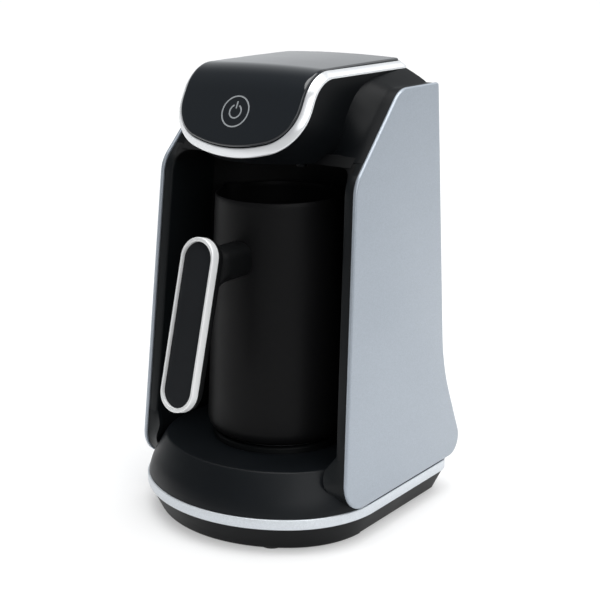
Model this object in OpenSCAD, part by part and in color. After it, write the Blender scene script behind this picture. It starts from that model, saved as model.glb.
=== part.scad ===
// Electric Turkish coffee maker: a silver and black cabinet with a heated bay, and a lift-out pot.
// Units are millimetres. X runs to the right, Y to the back and Z up.

/* [Base] */
// Height of the rubber feet below the base
foot_h = 1; // [0.5:0.1:2]
// Radius of a rubber foot
foot_r = 6.5; // [5:0.5:8]
// Width of the base over the silver band
base_w = 152; // [146:1:160]
// Reach of the base in front of the panels' feet
base_front = 38.5; // [36:0.5:42]
// Depth of the base behind the panels' feet
base_rear = 116; // [112:1:118]
// Radius of the base's front in plan
base_front_r = 86; // [80:1:100]
// Radius of the base's front corners in plan
base_corner_r = 60; // [56:1:64]
// Radius of the base's rear corners in plan
base_rear_r = 14; // [10:1:18]
// Height of the black lower base
base_h = 14.5; // [12:0.5:18]
// How far the lower base draws in towards its bottom
base_draw = 7.5; // [5:0.5:9]
// Wall of the lower base
base_t = 2.4; // [2:0.1:3]
// Height of the skid under the front of the base
skid_h = 1.5; // [1:0.1:2]
// Height of the silver band
band_h = 6; // [4:0.5:8]
// Thickness of the silver band
band_t = 3; // [2:0.1:4]

/* [Deck] */
// Rise of the deck from the band to the bay's floor
deck_rise = 23.5; // [18:0.5:28]
// How far the deck draws in from the band to the bay's lip
deck_draw = 12; // [9:0.5:14]
// Wall of the deck
deck_t = 2.4; // [2:0.1:3]

/* [Side panels] */
// How far the side panels stay within the band's width at the bay's lip, on each side
panel_step = 1; // [0.5:0.5:3]
// Lean of the side panels towards the top, in degrees
panel_lean = 2.1; // [1.5:0.1:2.5]
// Thickness of a side panel
panel_t = 2.5; // [2:0.1:3]
// Drop from the head's flat top to the side panels' top edge
panel_drop = 13; // [9:0.5:18]
// Shadow gap between the silver band and the side panels
panel_gap = 0.5; // [0.3:0.1:0.8]
// Backward lean of the panels' front edge, in degrees
front_lean = 5.42; // [4:0.1:6]
// Drop from the head's flat top to the start of the slanted front edge
slant_drop = 59.5; // [55:0.5:64]
// Slope of the slanted edge, in degrees
slant_angle = 45.6; // [42:0.2:49]
// Place of the rear edge above the flare
rear_y = 105.2; // [104:0.2:107]
// Forward lean of the rear edge, in degrees
rear_lean = 1.25; // [0.5:0.05:2]
// Height at which the rear edge starts to flare
flare_z = 82; // [76:1:88]
// Slope of the flare, in degrees
flare_angle = 21.1; // [18:0.1:23]

/* [Bay] */
// Width of the black front strip beside a panel
arm_w = 6; // [5:0.2:7]
// Wall of the black front strips and of the bay's sides
arm_t = 2.4; // [2:0.1:3]
// Clear height between the pot's rim and the bay's ceiling
bay_clear = 21.6; // [18:0.2:24]
// Height of the seam between the front strips and the top cover above the ceiling
seam_rise = 5.2; // [4.2:0.2:8]
// How far the bay's curved back wall starts within the panels' faces
bay_side = 7; // [5:0.5:9]
// Place of the deepest line of the bay's back wall
bay_back = 90; // [86:0.5:90]

/* [Head] */
// Height of the head above the bay's ceiling
head_rise = 52.7; // [51:0.1:56]
// Drop from the head's flat top to the power symbol's centre
face_drop = 24.4; // [22:0.1:27]
// Slope of the control panel's face, in degrees
face_tilt = 62.3; // [60:0.1:65]
// Half width of the control panel
face_hw = 40.5; // [38:0.5:42]
// Length of the face below the symbol's centre
face_low = 19.6; // [18:0.2:22]
// Radius of the face's lower corners
face_corner_r = 23; // [20:0.5:26]
// Radius of the face's bottom edge
face_bottom_r = 80; // [70:1:100]
// Radius of the bend from the face to the top
bend_r = 26; // [22:0.5:29]
// Place of the head's rear end
head_rear = 102; // [100:0.2:102.4]
// Thickness of the glossy control panel
glass_t = 2.5; // [2:0.1:3]
// Width of the chrome trim round the control panel
trim_w = 4.6; // [4:0.1:5]
// Drop of the trim's bevel
trim_drop = 5.5; // [5:0.1:5.8]
// Depth of the chrome trim
trim_d = 6.5; // [6:0.1:7]
// Wall of the top cover
cover_t = 2.2; // [1.8:0.1:2.6]
// Outer radius of the ring round the power symbol
ring_r = 9.2; // [8:0.1:10]
// Line width of the power symbol
line_w = 0.8; // [0.6:0.1:1]

/* [Heater] */
// Place of the pot's axis behind the panels' feet
pot_y = 38.7; // [37:0.1:40]
// Rise of the heating plate above the bay's floor
plate_rise = 3.7; // [3:0.1:5]
// Radius of the heating plate
plate_r = 35; // [33:0.5:37]
// Thickness of the heating plate
plate_t = 3.5; // [3:0.1:4]
// Width of the collar round the heating plate
collar_w = 4; // [3:0.1:5]
// Radius of the heating element's ring
element_r = 24; // [21:0.5:26]
// Radius of the heating element's tube
tube_r = 3.2; // [2.8:0.1:3.6]
// Radius of the temperature sensor's cap
sensor_r = 6; // [5:0.1:7]

/* [Pot] */
// Height of the pot
pot_h = 141.2; // [136:0.2:144]
// Radius of the pot at its rim
rim_r = 36.5; // [34:0.1:39]
// Radius of the pot at its foot
pot_r = 43.2; // [40:0.1:45]
// Radius of the edge round the pot's foot
pot_edge_r = 8; // [6:0.5:10]
// Wall of the pot
pot_t = 1.4; // [1:0.1:2]
// Radius of the disc under the pot
disc_r = 33; // [30:0.5:34]
// Thickness of the disc under the pot
disc_t = 2; // [1.5:0.1:2.5]
// Reach of the pouring lip past the rim
spout_reach = 3.5; // [2:0.1:5]

/* [Handle] */
// Length of the grip
grip_l = 95.6; // [92:0.2:99]
// Width of the grip
grip_w = 22.6; // [21:0.2:24]
// Lean of the grip, in degrees
grip_lean = 15.2; // [11:0.2:18]
// Reach of the grip's face in front of the pot's axis
grip_reach = 83; // [80:0.2:86]
// Height of the grip's middle above the pot's foot
grip_z = 81.2; // [78:0.2:84]
// Width of the chrome rim along the grip's sides
rim_w = 1.5; // [1.2:0.1:2]
// Width of the chrome rim at the grip's ends
rim_end_w = 2.4; // [2:0.1:3]
// Depth of the chrome rim round the grip
rim_d = 5; // [4.4:0.1:6]
// Thickness of the whole grip
grip_t = 12; // [11:0.2:14]
// Width of the neck between the grip and the pot
neck_w = 18; // [16:0.5:20]
// Height of the neck at the pot
neck_h = 19.2; // [17:0.2:21]
// Height of the neck's middle above the pot's foot
neck_z = 109; // [106:0.5:112]

/* [Fits] */
// Gap between neighbouring covers
seam = 0.3; // [0.2:0.05:0.4]
// Radial clearance of the temperature sensor's stem
stem_fit = 0.08; // [0.04:0.01:0.1]

/* [Hidden] */
// Angle between the points of a rounded outline
arc_step = 6;
// Overshoot of a cut past the surface it opens, and overlap of pieces joined into one
cut = 1;
lap = 0.3;
// Thickness of the slices that a hull is drawn through
slice = 0.2;
// Small clearance between parts that sit in one another
ease = 0.1;

// Levels, from the floor upwards
z_band = foot_h + base_h;
z_deck = z_band + band_h;
z_floor = z_deck + deck_rise;
z_panel = z_deck + panel_gap;
z_plate = z_floor + plate_rise;
z_pot = z_plate + seam;
z_rim = z_pot + pot_h;
ceiling_z = z_rim + bay_clear;
seam_z = ceiling_z + seam_rise;
head_top = ceiling_z + head_rise;
face_z = head_top - face_drop;
panel_top = head_top - panel_drop;
slant_z = head_top - slant_drop;
// Width across the side panels, and the curve of the bay's back wall: radius and place of its centre
body_w = base_w - 2 * panel_step;
bay_r = body_w / 2 - bay_side;
bay_y = bay_back - bay_r;

// Drop below the bay's floor at which the panels' front edges cross Y = 0
edge_drop = 3.5;
// Corner radii of the side panels: feet, blend of the flare, top and slant
foot_front_r = 17;
foot_rear_r = 11.3;
flare_r = 110;
top_r = 2;
slant_r = 18;
// Places of the side panels' corners
foot_front = -(z_floor - edge_drop - z_panel) * tan(front_lean);
foot_rear = rear_y + (flare_z - z_panel) * tan(flare_angle);
slant_y = foot_front + (slant_z - z_panel) * tan(front_lean);
// Rounding of the grip's front edge, and the middle of the whole object's depth, which becomes Y = 0
rim_edge = 0.5;
handle_front = pot_y - grip_reach - (grip_l / 2 - rim_edge) * sin(grip_lean);
panel_rear = foot_rear - foot_rear_r * (tan(45 + flare_angle / 2) - 1);
mid_y = (handle_front + panel_rear) / 2;
// Outline of a side panel: place, height and corner radius
PANEL = [
    [foot_front, z_panel, foot_front_r],
    [foot_rear, z_panel, foot_rear_r],
    [rear_y, flare_z, flare_r],
    [rear_y - (panel_top - flare_z) * tan(rear_lean), panel_top, top_r],
    [slant_y + (panel_top - slant_z) / tan(slant_angle), panel_top, slant_r],
    [slant_y, slant_z, slant_r]
];

// Screws: bore, shank and clearance hole radii, head radius and height, and the recess for a head
bore_r = 1.45;
shank_r = 1.4;
hole_r = 1.65;
head_r = 3;
head_h = 2;
recess_r = 3.3;
small_head_r = 2.6;

// Unit vector, its normal to the left, the signed turn between two directions, and a turned vector
function unit(v) = v / norm(v);
function left(v) = [-v.y, v.x];
function turn(a, b) = atan2(a.x * b.y - a.y * b.x, a * b);
function spun(v, a) = [v.x * cos(a) - v.y * sin(a), v.x * sin(a) + v.y * cos(a)];

// Rounded outline through corners [x, y, radius] listed anticlockwise, with every edge moved in by inset
function spot(c, i) = [c[i % len(c)].x, c[i % len(c)].y];
function edge(c, i) = unit(spot(c, i + 1) - spot(c, i));
function corner(c, i, inset) =
    let (
        a = edge(c, i + len(c) - 1),
        b = edge(c, i),
        t = turn(a, b),
        s = sign(t),
        r = max(c[i].z - s * inset, 0),
        p = spot(c, i) + inset * (left(a) + left(b)) / (1 + a * b),
        start = p - a * r * tan(abs(t) / 2),
        centre = start + s * r * left(a),
        steps = ceil(abs(t) / arc_step)
    )
    r == 0 ? [p] : [for (k = [0:steps]) centre + spun(start - centre, t * k / steps)];
function outline(c, inset = 0) = [for (i = [0:len(c) - 1]) each corner(c, i, inset)];

// Corners of an outline with a bowed front: half width, front, its radius, corner radius, rear, its radius
function bow(hw, front, front_r, corner_r, rear, rear_r) =
    let (
        phi = asin((hw - corner_r) / (front_r - corner_r)),
        tip = front + front_r - front_r / cos(phi),
        knee = tip + hw * tan(phi)
    )
    [[0, tip, front_r], [hw, knee, corner_r], [hw, rear, rear_r], [-hw, rear, rear_r], [-hw, knee, corner_r]];

// Outer face of the leaning side at height z, moved in by inset
function side_x(z, inset = 0) =
    body_w / 2 - inset / cos(panel_lean) - (z - z_floor) * tan(panel_lean);

// A hollow form reaches past the open end of the form around it
function past(inset) = inset > 0 ? cut : 0;

// Everything is drawn with the panels' feet at Y = 0 and then centred on the object's depth
module machine() translate([0, -mid_y, 0]) children();

// Plate that follows an outline in plan, between two heights
module plan(c, z0, z1, inset = 0) translate([0, 0, z0]) linear_extrude(z1 - z0) polygon(outline(c, inset));

// Plate between two places across the width, from points of the side view
module slab(x0, x1, points) translate([x0, 0, 0]) rotate([90, 0, 90]) linear_extrude(x1 - x0) polygon(points);

// Right side (s = 1) or left side (s = -1), leaning inwards, with X = 0 on the panel's outer face
module side(s) {
    if (s > 0) {
        leaning() children();
    } else {
        mirror([1, 0, 0]) leaning() children();
    }
}
module leaning() {
    translate([body_w / 2, 0, z_floor]) rotate([0, -panel_lean, 0]) translate([0, 0, -z_floor]) children();
}

// Block between the two leaning sides, from z0 to z1 and from y0 to y1
module between(inset, y0, y1, z0, z1) {
    translate([0, y1, 0]) rotate([90, 0, 0]) linear_extrude(y1 - y0) polygon([
        [-side_x(z0, inset), z0], [side_x(z0, inset), z0], [side_x(z1, inset), z1], [-side_x(z1, inset), z1]
    ]);
}

// Round bar up from z0 to z1
module rod(r, z0, z1) translate([0, 0, z0]) cylinder(r = r, h = z1 - z0, $fn = 48);

// Round tube swept along a route, as one closed skin
function tube_ring(p, i, r, sides) =
    let (
        n = len(p),
        d = unit(p[min(i + 1, n - 1)] - p[max(i - 1, 0)]),
        ref = abs(d.z) > 0.9 ? [1, 0, 0] : [0, 0, 1],
        u = unit(cross(ref, d)),
        v = cross(d, u)
    )
    [for (k = [0:sides - 1]) p[i] + r * (cos(360 * k / sides) * u + sin(360 * k / sides) * v)];
module tube(p, r, sides = 8) {
    n = len(p);
    polyhedron(
        points = [for (i = [0:n - 1]) each tube_ring(p, i, r, sides)],
        faces = concat(
            [[for (k = [0:sides - 1]) k]],
            [for (i = [0:n - 2], k = [0:sides - 1]) [
                i * sides + k, (i + 1) * sides + k,
                (i + 1) * sides + (k + 1) % sides, i * sides + (k + 1) % sides
            ]],
            [[for (k = [sides - 1:-1:0]) (n - 1) * sides + k]]
        )
    );
}

// Points of a coil spring that fills the height from z0 to z1
coil_steps = 14;
wire_r = 0.3;
function coil_point(r, z0, z1, turns, k) =
    [r * cos(360 * k / coil_steps), r * sin(360 * k / coil_steps), z0 + (z1 - z0) * k / (turns * coil_steps)];
module spring(r, z0, z1, turns) {
    tube([
        for (k = [0:turns * coil_steps]) coil_point(r, z0 + wire_r, z1 - wire_r, turns, k)
    ], wire_r, 6);
}

// ---- Base ----

// Corners of the base in plan, with a bowed front
BASE = bow(base_w / 2, -base_front, base_front_r, base_corner_r, base_rear, base_rear_r);
// Place at which the front skid ends
skid_y = 6;
// Underside and floor of the lower base behind the skid
base_under = foot_h + skid_h;
base_floor = base_under + base_t;
// How far the lower base and the deck stay behind the band's face
band_proud = 0.9;
// Bosses for the screws that join the base: places, radius, underside of the screw heads
BASE_BOSSES = [[46, 8], [-46, 8], [50, 94], [-50, 94]];
boss_r = 4.5;
screw_z = foot_h + 8;
base_screw_l = 16;
// Rubber feet: places, stem radius and how far the stem stands above the floor
FEET = [[34, -14], [-34, -14], [46, 84], [-46, 84]];
foot_stem_r = 2.5;
foot_stem_up = 1.5;
// Bosses under the power board: places, radius and height
BOARD_BOSSES = [[37, 70], [-37, 70], [37, 100], [-37, 100]];
board_boss_r = 3;
board_z = 10;

// Tapering tub of the lower base, drawn in by inset
module tub(inset, z0) {
    hull() {
        plan(BASE, z0, z0 + slice, base_draw + inset);
        plan(BASE, z_band - slice, z_band, band_proud + inset);
    }
}
module lower_base() color("#1c2021") machine() difference() {
    union() {
        difference() {
            tub(0, foot_h);
            translate([0, 0, base_floor - foot_h]) tub(base_t, foot_h);
            translate([-base_w, skid_y, 0]) cube([2 * base_w, 2 * base_rear, base_under]);
        }
        for (b = BASE_BOSSES) translate(b) rod(boss_r, base_floor - cut, z_band);
        for (b = BOARD_BOSSES) translate(b) rod(board_boss_r, base_floor - cut, board_z);
    }
    for (b = BASE_BOSSES) translate(b) {
        rod(recess_r, 0, screw_z);
        rod(bore_r, 0, z_band + cut);
    }
    for (b = BOARD_BOSSES) translate(b) rod(bore_r, base_floor + cut, board_z + cut);
    for (f = FEET) translate(f) {
        rod(foot_r + ease, 0, base_under);
        rod(foot_stem_r + ease, 0, z_band);
    }
}

module rubber_feet() color("#141414") machine() for (f = FEET) translate(f) {
    rod(foot_r, 0, base_under);
    rod(foot_stem_r, base_under - lap, base_floor + foot_stem_up);
}

module base_screws() color("silver") machine() for (b = BASE_BOSSES) translate(b) {
    rod(head_r, screw_z - head_h, screw_z);
    rod(shank_r, screw_z - lap, screw_z + base_screw_l);
}

module base_band() color("#c6c9cd") machine() difference() {
    plan(BASE, z_band, z_deck);
    plan(BASE, z_band - cut, z_deck + cut, band_t);
}

// Steep lower part of the deck's dome: height and how far it draws in
steep_h = 8.5;
steep_draw = 3.5;
// How far the deck's seating ring rises inside the dome
ring_up = 3;
// Hole for the cable that runs up behind the bay
CABLE_HOLE = [-34, 92];
cable_hole_r = 4;
// Collar and flange of the heater
plate_fit = 0.4;
collar_r = plate_r + plate_fit + collar_w;
flange_r = collar_r + 5.4;
flange_t = 2;
flange_z = z_floor - deck_t - seam;
heater_screw_x = flange_r - 3.4;
HEATER_HOLES = [45, 135, 225, 315];
// Skin left above the heater's screws
skin = 0.6;

// Convex dome from the band up to the bay's floor
module dome(inset, z0, z1) {
    hull() {
        plan(BASE, z0, z0 + slice, band_proud + inset);
        plan(BASE, z_deck + steep_h, z_deck + steep_h + slice, steep_draw + inset);
        plan(BASE, z1 - slice, z1, deck_draw + inset);
    }
}
module base_deck() color("#24292d") machine() difference() {
    union() {
        difference() {
            dome(0, z_deck, z_floor);
            dome(deck_t, z_deck - cut, z_floor - deck_t);
        }
        difference() {
            plan(BASE, z_band, z_deck + ring_up, band_t + seam);
            plan(BASE, z_band - cut, z_deck + ring_up + cut, band_t + seam + deck_t);
        }
        for (b = BASE_BOSSES) translate(b) rod(boss_r, z_band, z_floor - deck_t / 2);
        at_pot() at_heater_holes() rod(board_boss_r, flange_z + seam, z_floor - skin);
    }
    for (s = [-1, 1]) side(s) slab(-arm_out, 3 * panel_t, outline(PANEL, -seam));
    for (b = BASE_BOSSES) translate(b) rod(bore_r, z_band - cut, screw_z + base_screw_l + cut);
    at_pot() {
        rod(collar_r + seam, z_floor - 2 * deck_t, z_floor + cut);
        at_heater_holes() rod(bore_r, z_deck, z_floor - skin);
    }
    translate(CABLE_HOLE) rod(cable_hole_r, z_deck, z_floor + cut);
}

// ---- Cabinet ----

// Insets of the black covers from the side panels' faces, and of their fronts from the panels' edges
arm_out = panel_t + seam;
arm_in = arm_out + arm_w;
strip_back = 0.8;
cover_in = strip_back + arm_t;
// How far the rear cover wraps round the sides, and its foot above the panels' feet
cover_reach = 12;
cover_up = 2;
// Depth to which the front strips and their inner walls reach
strip_rear = 34;
wall_rear = 62;
// Ceiling pan: front limit, half width of the rim's opening there, rear edge and top of its rim
ceiling_front = 20;
opening_x = 35;
function rear_at(z) = rear_y - (z - flare_z) * tan(rear_lean);
ceiling_rear = rear_at(seam_z) - cover_in - seam;
rim_z = seam_z - seam;
// Screws of the rear cover: heights above the flare and below the ceiling, place across, boss radius and
// how far they reach in
low_screws_up = 28;
high_screws_down = 21.8;
REAR_SCREWS = [flare_z + low_screws_up, ceiling_z - high_screws_down];
rear_screw_x = 42;
rear_boss_r = 4;
rear_screw_l = 15;
rear_sink = 1;
// Vent slots of the rear cover: number, first height above the flare, spacing, half length and slot height
vents = 6;
vent_up = 68;
vent_gap = 6;
VENTS = [for (k = [0:vents - 1]) flare_z + vent_up + k * vent_gap];
vent_x = 24;
vent_h = 2.4;
// Cord gland: place, height and radius, inner flange and blind bore for the cord
gland_x = -40;
gland_z = 44;
gland_r = 5.5;
gland_y = 110.5;
gland_flange_r = 7;
gland_flange_t = 1.5;
gland_bore_r = 3;
gland_bore_y = 117.2;
gland_end = foot_rear - 6;
// Sensor that watches the foam, and the screws that hold the head
foam_y = 38;
foam_r = 4;
head_boss_in = 29;
head_boss_x = body_w / 2 - head_boss_in;
HEAD_BOSSES = [[27, 24], [-27, 24], [head_boss_x, 90], [-head_boss_x, 90]];

module side_panel(s) color("#adb6bd") machine() side(s) slab(-panel_t, 0, outline(PANEL));
module side_panel_right() side_panel(1);
module side_panel_left() side_panel(-1);

// Black strip beside a side panel, with the bay's side wall behind it
module arm(s) color("#202529") machine() difference() {
    side(s) {
        intersection() {
            difference() {
                slab(-arm_in, -arm_out, outline(PANEL, strip_back));
                slab(-arm_in - cut, -arm_out + cut, outline(PANEL, strip_back + arm_t));
            }
            arm_reach(strip_rear);
        }
        intersection() {
            slab(-arm_in, -arm_in + arm_t, outline(PANEL, strip_back));
            arm_reach(wall_rear);
        }
    }
    dome(-seam, z_deck, z_floor + seam);
}
module arm_reach(y) {
    slab(-arm_in - cut, -arm_out + cut, [[-base_front, 0], [y, 0], [y, rim_z], [-base_front, rim_z]]);
}
module arm_right() arm(1);
module arm_left() arm(-1);

// The four places of the rear cover's screws, looking backwards
module at_rear_screws() for (s = [-1, 1], z = REAR_SCREWS) translate([s * rear_screw_x, 0, z]) {
    rotate([-90, 0, 0]) translate([0, 0, rear_at(z)]) children();
}
module bay_liner() color("#15181a") machine() difference() {
    intersection() {
        union() {
            translate([0, bay_y, 0]) rod(bay_r + arm_t, z_floor + seam, ceiling_z - seam);
            at_rear_screws() rod(rear_boss_r, -rear_y + bay_y, -cover_in - seam);
        }
        between(arm_in + seam, bay_y, 2 * base_rear, z_floor, ceiling_z);
        translate([-base_w, strip_rear + 2, 0]) cube([2 * base_w, base_rear, panel_top]);
    }
    translate([0, bay_y, 0]) cylinder(r = bay_r, h = 2 * panel_top, $fn = 96);
    at_rear_screws() rod(bore_r, -rear_screw_l - cut, 0);
}

// Ceiling of the bay: a shallow pan with a tongue under the head
module bay_ceiling() color("#15181a") machine() difference() {
    union() {
        intersection() {
            slab(-base_w, base_w, outline(PANEL, strip_back));
            between(arm_in + seam, ceiling_front, ceiling_rear, ceiling_z, rim_z);
        }
        intersection() {
            on_face() prism(-far_s / 2, -trim_seat - seam, nose_in + seam);
            translate([-base_w / 2, -base_front, ceiling_z]) {
                cube([base_w, base_front + strip_rear, arm_t]);
            }
        }
    }
    intersection() {
        slab(-base_w, base_w, outline(PANEL, strip_back + arm_t));
        between(arm_in + seam + arm_t, ceiling_front, ceiling_rear - arm_t, ceiling_z + arm_t, panel_top);
    }
    translate([-opening_x, 0, ceiling_z + arm_t]) cube([2 * opening_x, 2 * ceiling_front, panel_top]);
    translate([0, foam_y, 0]) rod(foam_r + seam, ceiling_z - cut, ceiling_z + 2 * arm_t);
    for (p = HEAD_BOSSES) translate(p) rod(hole_r, ceiling_z - cut, ceiling_z + 2 * arm_t);
    translate(CABLE_HOLE) rod(cable_hole_r, ceiling_z - cut, ceiling_z + 2 * arm_t);
}

module rear_cover() color("#1c2022") machine() difference() {
    intersection() {
        difference() {
            slab(-base_w, base_w, outline(PANEL, strip_back));
            slab(-2 * base_w, 2 * base_w, outline(PANEL, cover_in));
        }
        between(arm_out, rear_y - cover_reach, 2 * base_rear, z_panel + cover_up, rim_z);
    }
    dome(-seam, z_deck, z_floor + seam);
    at_rear_screws() {
        rod(hole_r, -2 * cover_in, cut);
        rod(recess_r, -strip_back - rear_sink, cut);
    }
    for (z = VENTS) translate([-vent_x, rear_y - 20, z]) cube([2 * vent_x, 40, vent_h]);
    at_gland() rod(gland_r + seam, rear_y, 2 * base_rear);
}

module at_gland() translate([gland_x, 0, gland_z]) rotate([-90, 0, 0]) children();
module cord_gland() color("#101010") machine() at_gland() difference() {
    union() {
        rod(gland_r, gland_y, gland_end);
        rod(gland_flange_r, gland_y, gland_y + gland_flange_t);
    }
    rod(gland_bore_r, gland_bore_y, foot_rear);
}

module rear_screws() color("silver") machine() at_rear_screws() {
    rod(shank_r, -rear_screw_l, -strip_back - rear_sink + lap);
    rod(head_r, -strip_back - rear_sink, -strip_back);
}

// ---- Head ----

// Slope's apex and the bend between the face and the flat top
apex_s = (head_top - face_z) / sin(face_tilt);
bend_s = apex_s - bend_r * tan(face_tilt / 2);
bend_y = apex_s * cos(face_tilt) + bend_r * tan(face_tilt / 2);
bend_z = head_top - bend_r;
bend_steps = 10;
// Length of the face's outline up the slope and of its part below the bottom edge
far_s = 120;
low_s = face_low + 10;
FACE = bow(face_hw, -face_low, face_bottom_r, face_corner_r, far_s, 0);
// Depths of the tray under the panel, of the touch board and of the cover's edge under the trim
tray_t = 2;
tray_n = glass_t + ease;
tray_low = tray_n + tray_t;
pcb_t = 1.6;
post_h = 1.6;
board_n = tray_low + post_h;
trim_seat = trim_d + 0.2;
// Insets of the nose's outside and inside from the face's outline
nose_out = seam - trim_w;
nose_in = nose_out + cover_t;
// Section of the trim beside the panel's edge: place out of the edge, and depth
trim_low = 2.4;
trim_flat = 1;
TRIM = [
    [seam, -trim_d], [trim_w, -trim_d], [trim_w, -trim_drop], [trim_flat, -trim_low], [seam, -trim_low]
];
// Power symbol: radius of the inner ring and height of the print
icon_r = 4.2;
print_t = 0.12;
// Corners of the raised shoulder beside the head, its half width and its front
shoulder_front = 26;
crest_x = face_hw + 6;
SHOULDER = [
    [shoulder_front, seam_z - 6, 0],
    [head_rear - 1, seam_z - 6, 0],
    [head_rear - 1, head_top - 5.5, 1],
    [65, head_top - 6.5, 20],
    [45, head_top - 14, 20],
    [30, head_top - 36, 20]
];
// Bosses for the head's screws and the ribs that carry them
head_boss_h = 20;
head_screw_l = 16;
rib_t = 2;

// Frame on the control panel's face: X across, Y up the face and Z out of it
module on_face() translate([0, 0, face_z]) rotate([face_tilt, 0, 0]) children();

// Prism through the face's outline from depth n0 to n1, drawn in by inset
module prism(n0, n1, inset) plan(FACE, n0, n1, inset);

// Bent sheet under the face and the flat top, from depth n0 to n1
module bent_sheet(n0, n1, inset, rear) intersection() {
    slab(inset - face_hw, face_hw - inset, concat(ribbon(n0, rear, 1), ribbon(n1, rear, -1)));
    union() {
        on_face() prism(n0 - bend_r, n1 + bend_r, inset);
        translate([-base_w, bend_y, 0]) cube([2 * base_w, 2 * base_rear, 2 * head_top]);
    }
}
// Side view of the surface at depth n, from the face's foot to the rear, or back with dir = -1
function ribbon(n, rear, dir) = [
    for (k = [0:bend_steps + 2]) ribbon_point(n, rear, dir > 0 ? k : bend_steps + 2 - k)
];
function ribbon_point(n, rear, k) =
    k == 0 ? face_point(-low_s, n)
    : k == bend_steps + 2 ? [rear, head_top + n]
    : [bend_y, bend_z] + (bend_r + n) * bend_way(1 - (k - 1) / bend_steps);
function bend_way(part) = [-sin(face_tilt * part), cos(face_tilt * part)];
function face_point(s, n) =
    [s * cos(face_tilt) - n * sin(face_tilt), face_z + s * sin(face_tilt) + n * cos(face_tilt)];

module control_panel() color("#272c31") machine() bent_sheet(-glass_t, 0, 0, head_rear);

// Places of the four posts of the touch board
POSTS = [[18, 9], [18, -9], [-18, 9], [-18, -9]];
post_r = 2.2;
post_bore_r = 1.15;
touch_hole_r = 6;
module head_tray() color("#15181a") machine() difference() {
    union() {
        bent_sheet(-tray_low, -tray_n, seam, head_rear - seam);
        on_face() for (p = POSTS) translate(p) rod(post_r, -board_n, -tray_low + cut);
    }
    on_face() {
        rod(touch_hole_r, -tray_low - cut, 0);
        for (p = POSTS) translate(p) rod(post_bore_r, -board_n - cut, -tray_low);
    }
}

// Chrome trim: bevelled round the face, swept over the bend and straight along the top
module head_trim() color("#e8e8ea") machine() {
    on_face() difference() {
        intersection() {
            hull() {
                prism(-trim_low - ease, -trim_low, -trim_flat);
                prism(-trim_d, -trim_drop, -trim_w);
            }
            translate([-2 * face_hw, -far_s, -2 * trim_d]) {
                cube([4 * face_hw, far_s + bend_s + lap, 3 * trim_d]);
            }
        }
        prism(-trim_d - cut, cut, -seam);
    }
    for (s = [0, 1]) mirror([s, 0, 0]) {
        bend() polygon([for (p = TRIM) [bend_r + p.y, face_hw + p.x]]);
        translate([face_hw, head_rear + cut, head_top]) rotate([90, 0, 0]) {
            linear_extrude(head_rear + cut - bend_y + lap) polygon(TRIM);
        }
    }
}
// Sweep of a section round the bend, drawn as [distance from the bend's axis, place across]
module bend() {
    translate([0, bend_y, bend_z]) rotate([0, -90, 0]) rotate([0, 0, -face_tilt]) {
        rotate_extrude(angle = face_tilt, $fn = 120) children();
    }
}

module power_symbol() color("#9aa0a4") machine() on_face() linear_extrude(print_t) {
    difference() {
        circle(r = ring_r, $fn = 96);
        circle(r = ring_r - line_w, $fn = 96);
    }
    difference() {
        circle(r = icon_r, $fn = 64);
        circle(r = icon_r - line_w, $fn = 64);
        polygon([[0, 0], [-icon_r, 2 * icon_r], [icon_r, 2 * icon_r]]);
    }
    translate([-line_w / 2, 0.4 * icon_r]) square([line_w, icon_r]);
}

// Nose that carries the control panel, drawn in by inset
module nose(inset) intersection() {
    on_face() prism(-far_s, inset > 0 ? bend_r : -trim_seat, nose_out + inset);
    union() {
        translate([-base_w / 2, -base_front, ceiling_z - past(inset)]) {
            cube([base_w, base_front + strip_rear, nose_h(inset)]);
        }
        translate([-base_w / 2, 0, seam_z - past(inset)]) {
            cube([base_w, head_rear - inset, nose_h(inset) - seam_z + ceiling_z]);
        }
    }
}
function nose_h(inset) = head_top - trim_seat - ceiling_z + (inset > 0 ? head_top : 0);

// Shoulders that fall from the head's sides to the side panels, drawn in by inset
module shoulders(inset) intersection() {
    hull() {
        intersection() {
            slab(
                -side_x(seam_z, arm_in + inset), side_x(seam_z, arm_in + inset),
                outline(PANEL, strip_back + inset)
            );
            translate([-base_w, 0, seam_z - cut]) cube([2 * base_w, head_rear, panel_top]);
        }
        slab(inset - crest_x, crest_x - inset, outline(SHOULDER, inset));
    }
    translate([-base_w, -base_w, seam_z - past(inset)]) cube([2 * base_w, 3 * base_w, head_top]);
}

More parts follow.
